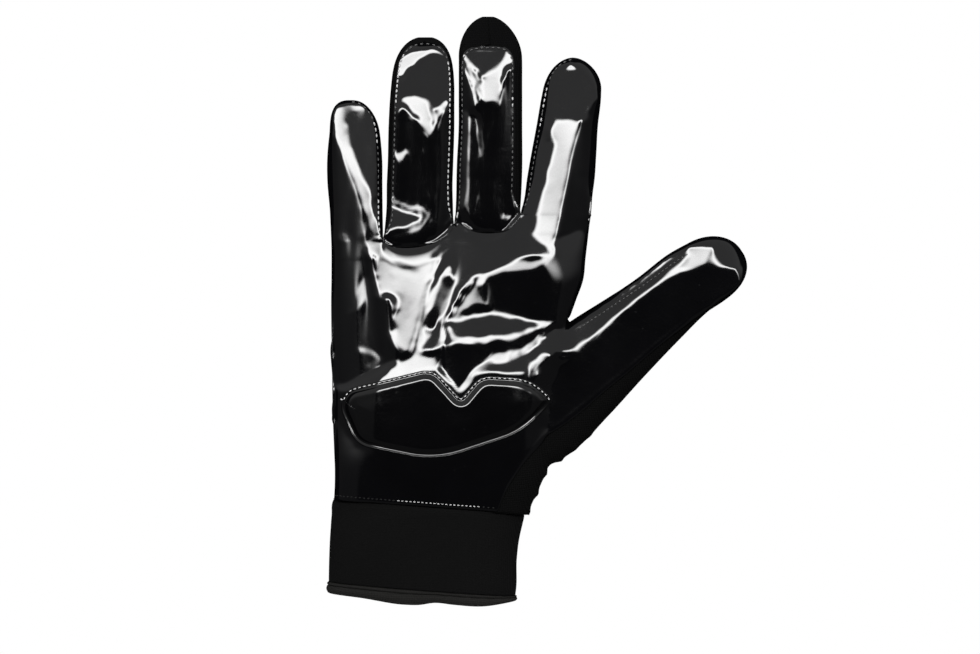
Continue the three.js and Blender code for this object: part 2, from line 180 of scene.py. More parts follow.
class Nodes:
    # a node tree, with one method that adds a node of any type
    def __init__(self, tree):
        self.tree = tree

    def plug(self, place, value):
        # a wire is linked, a colour gets an alpha of 1, and anything else is the socket's own value
        if isinstance(value, Wire):
            self.tree.links.new(value.socket, place)
        else:
            place.default_value = (*value, 1) if place.type == "RGBA" else value

    def add(self, kind, settings=None, inputs=None, output=0):
        # settings first, then the sockets. output is one socket's number or name, or a tuple of several.
        node = self.tree.nodes.new("ShaderNode" + kind)
        for key, value in (settings or {}).items():
            if key == "stops":
                for stop, (place, shade) in zip(node.color_ramp.elements, value):
                    stop.position, stop.color = place, (shade, shade, shade, 1)
            else:
                setattr(node, key, value)
        for key, value in (inputs or {}).items():
            self.plug(node.inputs[key], value)
        if isinstance(output, tuple):
            return [Wire(self, node.outputs[key]) for key in output]
        return Wire(self, node.outputs[output])

    def ramp(self, value, low, high, toLow=0.0, toHigh=1.0):
        # from toLow to toHigh by 6t^5 - 15t^4 + 10t^3, t = (value - low) / (high - low), level past both
        return self.add("MapRange", {"interpolation_type": "SMOOTHERSTEP"},
                        {"Value": value, "From Min": low, "From Max": high, "To Min": toLow, "To Max": toHigh})


class Finish(Nodes):
    # a material with one Principled shader. A socket's name is written with _ for its spaces.
    def __init__(self, name, **values):
        self.material = bpy.data.materials.new(name)
        self.material.use_nodes = True
        super().__init__(self.material.node_tree)
        self.shader = self.tree.nodes["Principled BSDF"]
        self.set(**values)

    def set(self, **values):
        # values or wires for the shader's sockets
        for key, value in values.items():
            self.plug(self.shader.inputs[key.replace("_", " ")], value)

    def here(self, *moved):
        # the place on the piece, in Object coordinates moved by x, y and z
        return self.add("Mapping", inputs={"Vector": self.add("TexCoord", output="Object"), "Location": moved})

    def noise(self, where, scale, detail):
        # soft noise from 0 to 1, with scale blobs to the metre
        return self.add("TexNoise", inputs={"Vector": where, "Scale": scale, "Detail": detail,
                                            "Roughness": 0.5})

    def blend(self, share, one, other):
        # one + (other - one) share, for colours
        return self.add("Mix", {"data_type": "RGBA"}, {0: share, 6: one, 7: other}, output=2)

    def bump(self, height, strength, distance):
        # tilts the shading by the slope of height, distance being the depth in metres of a height of 1
        self.set(Normal=self.add("Bump", inputs={"Height": height, "Strength": strength, "Distance": distance}))


leather = {"cloud": 60, "grain": 900, "dust": 700, "dustFrom": 0.76, "dustTo": 0.84}  # scales to the metre
knit = {"wobble": 180, "fuzz": 1500, "wear": 25, "rowPitch": 0.8, "loopShare": 0.6, "rowShare": 0.4}


def glossLeather(name, base, seed):
    # a mirror coat over a slightly uneven base: roughness is 0.10 + 0.06 cloud + 0.3 dust, the colour goes up
    # to 1.6 times the base with cloud, and the bump is 0.9 cloud + 0.1 grain
    f = Finish(name, Coat_Weight=1.0, Coat_Roughness=0.025, Coat_IOR=1.5, Specular_IOR_Level=0.06)
    here = f.here(seed, seed, 0)
    cloud = f.noise(here, leather["cloud"], 4)
    grain = f.noise(here, leather["grain"], 2)
    dust = f.add("ValToRGB", {"stops": [(leather["dustFrom"], 0.0), (leather["dustTo"], 1.0)]},
                 {"Fac": f.noise(here, leather["dust"], 1)})
    f.set(Roughness=0.10 + 0.06 * cloud + 0.3 * dust,
          Base_Color=f.blend(cloud, base, tuple(1.6 * c for c in base)))
    f.bump(0.9 * cloud + 0.10 * grain, 0.40, 0.0006)
    return f.material


def knitFabric(name, base, light, pitch, strength, seed=0.0):
    # loops sin(2 pi (x + z/2) / pitch) crossed by rows sin(1.6 pi (y + 0.35 z) / pitch), both bent by noise.
    # The colour goes from base to light with their height, painted shade in the loops' hollows, and with wear.
    f = Finish(name, Specular_IOR_Level=0.05)
    here = f.here(seed, 0, 0)
    wobble = f.noise(here, knit["wobble"], 2)
    x, y, z = f.add("SeparateXYZ", inputs={0: here}, output=(0, 1, 2))
    turn = 6.2832 / (pitch * mm)
    across = (x + 0.5 * z) * turn + 2.5 * wobble
    down = (y + 0.35 * z) * (turn * knit["rowPitch"]) + 2.0 * wobble
    loops, rows = across.sine() * 0.5 + 0.5, down.sine() * 0.5 + 0.5
    height = loops * knit["loopShare"] + rows * knit["rowShare"]
    fuzz = f.noise(here, knit["fuzz"], 3)
    wear = f.noise(here, knit["wear"], 4)
    # painted shade: the colour follows the loops' height, darker in their hollows; the wear noise is real wear
    f.set(Base_Color=f.blend(height * 0.6 + wear * 0.5, base, light), Roughness=0.72 + 0.2 * fuzz)
    f.bump(height + 0.5 * fuzz, strength, 0.0004)
    return f.material


def grey(shade):
    # the same value three times
    return (shade, shade, shade)


palmGloss = glossLeather("palmGloss", (0.0022, 0.0022, 0.0026), 0.0)
padGloss = glossLeather("padGloss", (0.0020, 0.0020, 0.0023), 0.3)
sideKnit = knitFabric("sideKnit", grey(0.0010), (0.0050, 0.0050, 0.0053), 0.7, 0.5)
backKnit = knitFabric("backKnit", grey(0.0010), grey(0.0052), 0.8, 0.5, 0.2)
cuffKnit = knitFabric("cuffKnit", grey(0.0026), grey(0.0072), 0.55, 0.3, 0.4)
hemCloth = knitFabric("hemCloth", (0.0090, 0.0090, 0.0086), (0.0270, 0.0262, 0.0248), 0.7, 0.5, 0.6)
# thread: its grey is partly its own colour and partly a painted highlight, lightened to stand in for light on
# the stitches
thread = knitFabric("thread", grey(0.04), grey(0.26), 0.5, 0.5, 0.8)
# near-white thread: a painted highlight standing in for the glints on the stitches
paintedGlintThread = knitFabric("paintedGlintThread", grey(0.55), grey(0.95), 0.5, 0.4, 0.9)
darkThread = knitFabric("darkThread", grey(0.008), grey(0.050), 0.5, 0.5, 0.7)
print("finishes made")


# the hand's form
# Edges are the photo's outline at each height y, bottom and top the section's lowest and highest points
hand = {
    "round": 4.6,
    "rows": [
        {"y": -90, "left": -87.2, "right": -3.8, "bottom": -0.6, "top": 29.4},
        {"y": -84, "left": -87.0, "right": -1.8, "bottom": -0.8, "top": 29.8},
        {"y": -78, "left": -86.6, "right": 1.0, "bottom": -1.0, "top": 30.2},
        {"y": -70, "left": -86.4, "right": 4.4, "bottom": -1.0, "top": 30.8},
        {"y": -60, "left": -86.7, "right": 6.6, "bottom": -1.0, "top": 31.5},
        {"y": -50, "left": -87.1, "right": 7.6, "bottom": -1.0, "top": 32.0},
        {"y": -40, "left": -87.4, "right": 8.4, "bottom": -1.0, "top": 32.0},
        {"y": -24, "left": -87.6, "right": 10.0, "bottom": -1.0, "top": 31.2},
        {"y": -6, "left": -88.0, "right": 13.4, "bottom": -1.0, "top": 29.2},
        {"y": 4, "left": -88.1, "right": 16.8, "bottom": -1.0, "top": 28.0},
        {"y": 13, "left": -88.0, "right": 20.0, "bottom": -0.8, "top": 26.8},
        {"y": 22, "left": -88.0, "right": 21.0, "bottom": -0.4, "top": 25.5},
        {"y": 34, "left": -88.1, "right": 22.4, "bottom": 0.0, "top": 24.0},
        {"y": 46, "left": -88.6, "right": 23.6, "bottom": 0.0, "top": 22.6},
    ],
}
# Fingers the same way, left and right being the edges without the tip's rounding; seamL and seamR are the
# shares of the half width at which the leather ends (None where it wraps round the outer side)
fingers = {
    "little": {
        "round": 2.8, "cap": 76.0, "tip": 90.3, "capPower": 2.6, "crotch": (30.0, 30.0),
        "seamL": None, "seamR": 0.95,
        "rows": [
            {"y": 10, "left": -88.1, "right": -65.8, "bottom": 0.4, "top": 21.6},
            {"y": 30, "left": -88.1, "right": -65.8, "bottom": 0.4, "top": 21.6},
            {"y": 42, "left": -88.8, "right": -65.9, "bottom": -0.4, "top": 21.0},
            {"y": 56, "left": -90.0, "right": -66.0, "bottom": -0.4, "top": 20.7},
            {"y": 63, "left": -90.1, "right": -66.0, "bottom": -0.2, "top": 20.6},
            {"y": 70, "left": -89.7, "right": -66.4, "bottom": 0.4, "top": 20.6},
            {"y": 77, "left": -89.0, "right": -67.2, "bottom": 1.2, "top": 20.2},
            {"y": 91, "left": -89.8, "right": -70.6, "bottom": 3.4, "top": 17.6},
        ],
    },
    "ring": {
        "round": 4.6, "cap": 100.0, "tip": 117.8, "capPower": 2.2, "crotch": (30.0, 36.5),
        "seamL": 0.84, "seamR": 0.91,
        "rows": [
            {"y": 10, "left": -65.8, "right": -35.3, "bottom": 0.4, "top": 22.0},
            {"y": 30, "left": -65.8, "right": -35.3, "bottom": 0.4, "top": 22.0},
            {"y": 44, "left": -64.8, "right": -35.6, "bottom": -0.5, "top": 21.4},
            {"y": 54, "left": -64.7, "right": -35.8, "bottom": -0.5, "top": 21.2},
            {"y": 63, "left": -64.3, "right": -35.5, "bottom": -0.4, "top": 21.0},
            {"y": 80, "left": -63.9, "right": -35.0, "bottom": 0.2, "top": 20.8},
            {"y": 88, "left": -63.5, "right": -35.0, "bottom": 0.8, "top": 20.8},
            {"y": 96, "left": -62.9, "right": -35.0, "bottom": 1.4, "top": 19.2},
            {"y": 104, "left": -62.1, "right": -35.3, "bottom": 2.4, "top": 17.0},
            {"y": 118, "left": -61.2, "right": -34.6, "bottom": 4.2, "top": 12.6},
        ],
    },
    "middle": {
        "round": 4.8, "cap": 109.0, "tip": 126.7, "capPower": 1.9, "crotch": (36.5, 40.8),
        "seamL": 0.93, "seamR": 0.74,
        "rows": [
            {"y": 10, "left": -35.3, "right": -7.0, "bottom": 0.4, "top": 22.2},
            {"y": 38, "left": -35.3, "right": -7.0, "bottom": 0.4, "top": 22.2},
            {"y": 48, "left": -34.9, "right": -6.3, "bottom": -0.5, "top": 21.8},
            {"y": 60, "left": -34.7, "right": -5.8, "bottom": -0.5, "top": 21.6},
            {"y": 80, "left": -33.8, "right": -5.8, "bottom": -0.2, "top": 21.2},
            {"y": 90, "left": -33.8, "right": -5.8, "bottom": 0.4, "top": 21.0},
            {"y": 99, "left": -33.8, "right": -5.8, "bottom": 1.0, "top": 19.4},
            {"y": 107, "left": -33.8, "right": -5.8, "bottom": 1.6, "top": 17.0},
            {"y": 127, "left": -34.4, "right": -7.4, "bottom": 4.4, "top": 12.8},
        ],
    },
    "index": {
        "round": 2.1, "cap": 95.0, "tip": 108.8, "capPower": 1.8, "crotch": (40.8, 40.8),
        "seamL": 0.95, "seamR": None,
        "rows": [
            {"y": 10, "left": -7.0, "right": 20.4, "bottom": 0.4, "top": 22.2},
            {"y": 32, "left": -7.0, "right": 22.2, "bottom": 0.4, "top": 22.2},
            {"y": 41, "left": -7.0, "right": 23.3, "bottom": -0.2, "top": 22.0},
            {"y": 49, "left": -5.4, "right": 24.0, "bottom": -0.5, "top": 21.8},
            {"y": 56, "left": -4.5, "right": 25.0, "bottom": -0.5, "top": 21.6},
            {"y": 66, "left": -2.8, "right": 25.7, "bottom": -0.4, "top": 21.4},
            {"y": 80, "left": -0.2, "right": 26.5, "bottom": 0.4, "top": 21.2},
            {"y": 90, "left": 1.5, "right": 27.7, "bottom": 1.4, "top": 19.6},
            {"y": 97, "left": 2.8, "right": 28.0, "bottom": 2.4, "top": 17.6},
            {"y": 109, "left": 3.1, "right": 28.3, "bottom": 4.2, "top": 13.4},
        ],
    },
}
thumb = {
    "base": (-18.0, -50.6), "angle": 33.3, "round": 4.0, "cap": 113.0, "tip": 130.4, "capPower": 2.2,
    # s is the distance along the axis, side the middle's offset towards the wrist, half the half width
    "rows": [
        {"s": 0, "side": 6.5, "half": 18.5, "bottom": 1.6, "top": 26.4},
        {"s": 21, "side": 4.4, "half": 23.2, "bottom": 0.6, "top": 27.6},
        {"s": 44, "side": 1.8, "half": 21.2, "bottom": 0.0, "top": 26.8},
        {"s": 66, "side": -1.2, "half": 18.6, "bottom": 0.2, "top": 25.6},
        {"s": 87, "side": -3.9, "half": 16.4, "bottom": 1.2, "top": 24.4},
        {"s": 104, "side": -6.2, "half": 15.3, "bottom": 2.6, "top": 23.6},
        {"s": 113, "side": -6.2, "half": 14.6, "bottom": 3.8, "top": 23.2},
        {"s": 131, "side": -5.2, "half": 13.6, "bottom": 6.0, "top": 21.4},
    ],
}
thumbFade = {"slope": 0.8, "until": 20}  # lowers the thumb inside the palm
webSquare = {"power": 7.0, "below": 2, "length": 20}  # roundness exponent where the fingers meet
tipThin = 0.8  # a tip loses height by its width's share to this power
crease = 1.3  # mm, how softly the thumb's height joins the palm's
webBlend = {"before": 9.0, "length": 10.0}  # how far below the web line the fingers begin
# The web line across the hand: the height at which each finger's own panel starts. It dips under the ring and
# middle fingers in the round seams.
webLine = [
    {"x": -90.0, "y": 30.0}, {"x": -70.0, "y": 30.0}, {"x": -65.8, "y": 30.0}, {"x": -61.0, "y": 27.6},
    {"x": -54.4, "y": 26.6}, {"x": -46.0, "y": 28.6}, {"x": -39.0, "y": 33.4}, {"x": -35.3, "y": 36.6},
    {"x": -31.0, "y": 37.2}, {"x": -26.0, "y": 34.0}, {"x": -20.0, "y": 33.0}, {"x": -14.0, "y": 34.6},
    {"x": -9.5, "y": 39.0}, {"x": -7.0, "y": 40.8}, {"x": 0.0, "y": 40.8}, {"x": 30.0, "y": 40.8},
]
# Where the leather ends at the right: the thumb's seam up to its root, then the root line to the crotch
palmEdge = [
    {"y": -90, "x": -18.5}, {"y": -75, "x": -12.0}, {"y": -64.5, "x": -5.0}, {"y": -55, "x": 3.2},
    {"y": -40, "x": 6.4}, {"y": -24, "x": 9.4}, {"y": -6, "x": 12.6},
]
thumbSeam = [  # from the root's lower corner to the tip
    (3.2, -55.0), (11.2, -49.0), (27.0, -36.1), (39.0, -26.7), (51.0, -16.3), (66.9, -4.3), (79.6, 3.4),
    (88.5, 9.2),
]
rootFrom, rootTo = -55.0, -6.0  # the thumb's root line on the palm's right edge
cuffLine = {"left": (-87.5, -80.6), "slope": -0.075}  # the seam that the cuff is sewn along


def roundnessAt(f, y):
    # the section's exponent: squarer at the web, so that the fingers' tops meet there without a valley, and
    # eased to the finger's own above it
    web = (f["crotch"][0] + f["crotch"][1]) / 2
    return mix(webSquare["power"], f["round"], ease((y - web + webSquare["below"]) / webSquare["length"]))


def edgesAt(rows, y):
    # left, right, bottom and top of a section at the height y, from its table
    return [table(rows, key, y) for key in ("left", "right", "bottom", "top")]


def tipCap(f, y):
    # the share that the tip's rounding leaves of a finger's width
    return capShare(y, f["cap"], f["tip"], f["capPower"])


def fingerParts(f, y):
    # centre, half width, mid level, and heights above and below it at y, all closed by the tip's cap
    left, right, low, high = edgesAt(f["rows"], y)
    cap = tipCap(f, y)
    level = (low + high) / 2
    return ((left + right) / 2, (right - left) / 2 * cap, level, (high - level) * cap**tipThin,
            (level - low) * cap**tipThin)


def fingerTop(f, x, y):
    # height of a finger's front: the section's level plus its rise times the arch
    centre, half, level, up, down = fingerParts(f, y)
    return level + up * arch((x - centre) / np.maximum(half, tiny), roundnessAt(f, y))


def handParts(y):
    # the hand's section at y, as fingerParts gives a finger's
    left, right, low, high = edgesAt(hand["rows"], y)
    level = (low + high) / 2
    return (left + right) / 2, (right - left) / 2, level, high - level, level - low


def handTop(x, y):
    # height of the palm, as fingerTop
    centre, half, level, up, down = handParts(y)
    return level + up * arch((x - centre) / half, hand["round"])


def thumbPlace(s, across):
    # base + s (cos, sin) + across (sin, -cos) of the thumb's angle
    angle = np.radians(thumb["angle"])
    x = thumb["base"][0] + s * np.cos(angle) + across * np.sin(angle)
    y = thumb["base"][1] + s * np.sin(angle) - across * np.cos(angle)
    return x, y


def thumbCoords(x, y):
    # thumbPlace the other way: the distance along the thumb, and the offset across it towards the wrist
    angle = np.radians(thumb["angle"])
    dx, dy = x - thumb["base"][0], y - thumb["base"][1]
    return dx * np.cos(angle) + dy * np.sin(angle), dx * np.sin(angle) - dy * np.cos(angle)


def thumbParts(s):
    # the thumb's section at the distance s, as fingerParts gives a finger's
    side, half, low, high = [table(thumb["rows"], key, s, "s") for key in ("side", "half", "bottom", "top")]
    cap = tipCap(thumb, s)
    level = (low + high) / 2
    return side, half * cap, level, (high - level) * cap**tipThin, (level - low) * cap**tipThin


def thumbTop(x, y):
    # height of the thumb's front, falling away inside the palm
    s, across = thumbCoords(x, y)
    side, half, level, up, down = thumbParts(s)
    rise = level + up * arch((across - side) / np.maximum(half, tiny), thumb["round"])
    return rise - thumbFade["slope"] * np.clip(thumbFade["until"] - s, 0, None)


def palmTop(x, y):
    # the soft maximum of hand and thumb
    return softMax(handTop(x, y), thumbTop(x, y), crease)


seamEnds = {"wrist": [(-17.0, -88.0), (-12.0, -75.0), (-5.0, -64.5)], "tip": (100.0, 16.0)}  # beyond thumbSeam


def thumbSeamSide(x, y):
    # distance to the thumb's seam, above 0 on the back's side: each run's sign is that of the cross product
    pts = np.array([*seamEnds["wrist"], *thumbSeam, seamEnds["tip"]])
    best = np.full(x.shape, far)
    sign = np.ones(x.shape)
    for (ax, ay), (bx, by) in zip(pts[:-1], pts[1:]):
        t = np.clip(((x - ax) * (bx - ax) + (y - ay) * (by - ay)) / ((bx - ax) ** 2 + (by - ay) ** 2), 0, 1)
        d = np.hypot(x - ax - t * (bx - ax), y - ay - t * (by - ay))
        turn = (x - ax) * (by - ay) - (y - ay) * (bx - ax)
        sign = np.where(d < best, np.sign(turn), sign)
        best = np.minimum(d, best)
    return best * sign


seamRidge = {"high": 0.10, "from": 1.3, "wide": 0.8}


def ridgeAt(x, y):
    # a low bead inside the leather's edge along the thumb's seam: high e^(-((d - from) / wide)^2)
    inside = -thumbSeamSide(x, y)
    return seamRidge["high"] * np.exp(-(((inside - seamRidge["from"]) / seamRidge["wide"]) ** 2))


def webAt(x):
    # height of the web line at x
    return table(webLine, "y", x, "x")


def webShare(x, y):
    # 0 on the hand, 1 on the fingers, the change ending just above the web line
    return ease((y - webAt(x) + webBlend["before"]) / webBlend["length"])


def cuffSeamAt(x):
    # height of the cuff's seam at x: a straight line
    return cuffLine["left"][1] + cuffLine["slope"] * (x - cuffLine["left"][0])


order = ["little", "ring", "middle", "index"]
borders = {  # where the columns of one finger end and the next's begin, at the cuff seam and at the web
    "cuff": [-70.0, -54.0, -37.0],
    "web": [-65.8, -35.3, -7.0],
    "from": 85, "length": 110,  # they go from one to the other over this height
}
columnEnds = {"cuff": [-87.0, *borders["cuff"], -17.0], "web": [-88.0, *borders["web"], 23.0]}
wrapAngle = 0.42  # how far the leather goes under the hand's outer sides
wrapRight = 0.42
wrapRise = 9  # mm of height over which the right side's wrap begins
wrapShare = 0.16  # of the columns that a whole wrap takes


def columnAt(line, k, t):
    # x at the share t across finger k's columns, along the cuff's seam or the web
    return mix(columnEnds[line][k], columnEnds[line][k + 1], t)


def handAngle(x, y):
    # the angle at which the hand's section stands at x: arccos(-(x - centre) / half)
    centre, half, *_ = handParts(y)
    return np.arccos(np.clip(-(x - centre) / half, -1, 1))


def borderAt(k, y):
    # x of the border between two fingers' columns at y, eased from the cuff's to the web's
    return mix(borders["cuff"][k], borders["web"][k], ease((y + borders["from"]) / borders["length"]))


def rightEnd(y):
    # the last column's angle: on top at the palm's edge, and wrapped under the index finger's side
    onTop = handAngle(table(palmEdge, "x", y), y)
    atRoot = handAngle(table(palmEdge, "x", np.full_like(y, rootTo)), y)
    return np.where(y < rootTo, onTop, mix(atRoot, np.pi + wrapRight, ease((y - rootTo) / wrapRise)))


def sectionPoint(centre, half, level, up, down, angle, power):
    # x = c - h cos(angle), z = level + up (1 - |a|^n)^(1/n) with a = -cos(angle), or level - down (...) below
    a = -np.cos(angle)
    rise = np.power(np.clip(1 - np.abs(a) ** power, 0, None), 1 / power)
    onTop = (angle > -hair) & (angle < np.pi + hair)
    return centre + half * a, level + np.where(onTop, up, -down) * rise, onTop


seamDraw = {"below": 1.0, "length": 12}  # where the seams begin to draw in from the outline


def seamShares(f, y):
    # the leather's edges as shares of the half width: at the outline in the crotch, then drawing in
    shares = []
    for side, key in ((0, "seamL"), (1, "seamR")):
        if f[key] is None:
            shares.append(None)
            continue
        start = f["crotch"][side]
        shares.append(mix(1.0, f[key], ease((y - start + seamDraw["below"]) / seamDraw["length"])))
    return shares


def spreadAngle(first, last, t):
    # angles across the columns t: a wrap under an outer side takes its share of them, the front the rest,
    # each spread evenly over its own
    under, over = np.clip(-first, 0, None), np.clip(last - np.pi, 0, None)
    a, b = wrapShare * under / wrapAngle, wrapShare * over / wrapRight
    front = mix(np.clip(first, 0, None), np.minimum(last, np.pi), np.clip((t - a) / (1 - a - b), 0, 1))
    return (front - under * np.clip(1 - t / np.maximum(a, hair), 0, 1)
            + over * np.clip(1 - (1 - t) / np.maximum(b, hair), 0, 1))


def fingerAngles(name, y):
    # first and last angle of the leather on a finger: arccos of the seam's share, or the wrap's
    f = fingers[name]
    left, right = seamShares(f, y)
    first = np.full_like(y, -wrapAngle) if left is None else np.arccos(np.clip(left, -1, 1))
    last = np.full_like(y, np.pi + wrapRight) if right is None else np.arccos(np.clip(-right, -1, 1))
    return first, last


# The leather's relief. Each zone is a part of the leather, outlined on the photo, with the way it mirrors:
# white the bright strip, pale its edge, grey the wall below it, black the dark ceiling. Its tilt follows from
# that, and the heights are those whose slopes come nearest to every zone's.
photo = {"wide": 980, "mmPerPx": 0.43, "originX": 536.5, "originY": 310.0}
camera = {"x": -20.0, "y": -7.3, "height": 1512.0, "away": 1500.0, "sensor": 36}  # mm, a px at away is 0.43
mirrors = {  # reach is the mirrored ray's lean, across and along how firmly the x and y slopes hold
    "white": {"reach": 0.29, "across": 0.4, "along": 2.0},
    "pale": {"reach": 0.235, "across": 0.2, "along": 1.0},
    "dim": {"reach": 0.2, "across": 0.2, "along": 1.0},
    "grey": {"reach": 0.56, "across": 0.04, "along": 0.6},
    "black": {"reach": 0.0, "across": 0.012, "along": 1.0},
    "level": {"reach": 0.0, "across": 0.25, "along": 0.6},
    "side": {"reach": 0.32, "across": 0.5, "along": 0.3},  # turned from the strip, towards the dark side wall
}
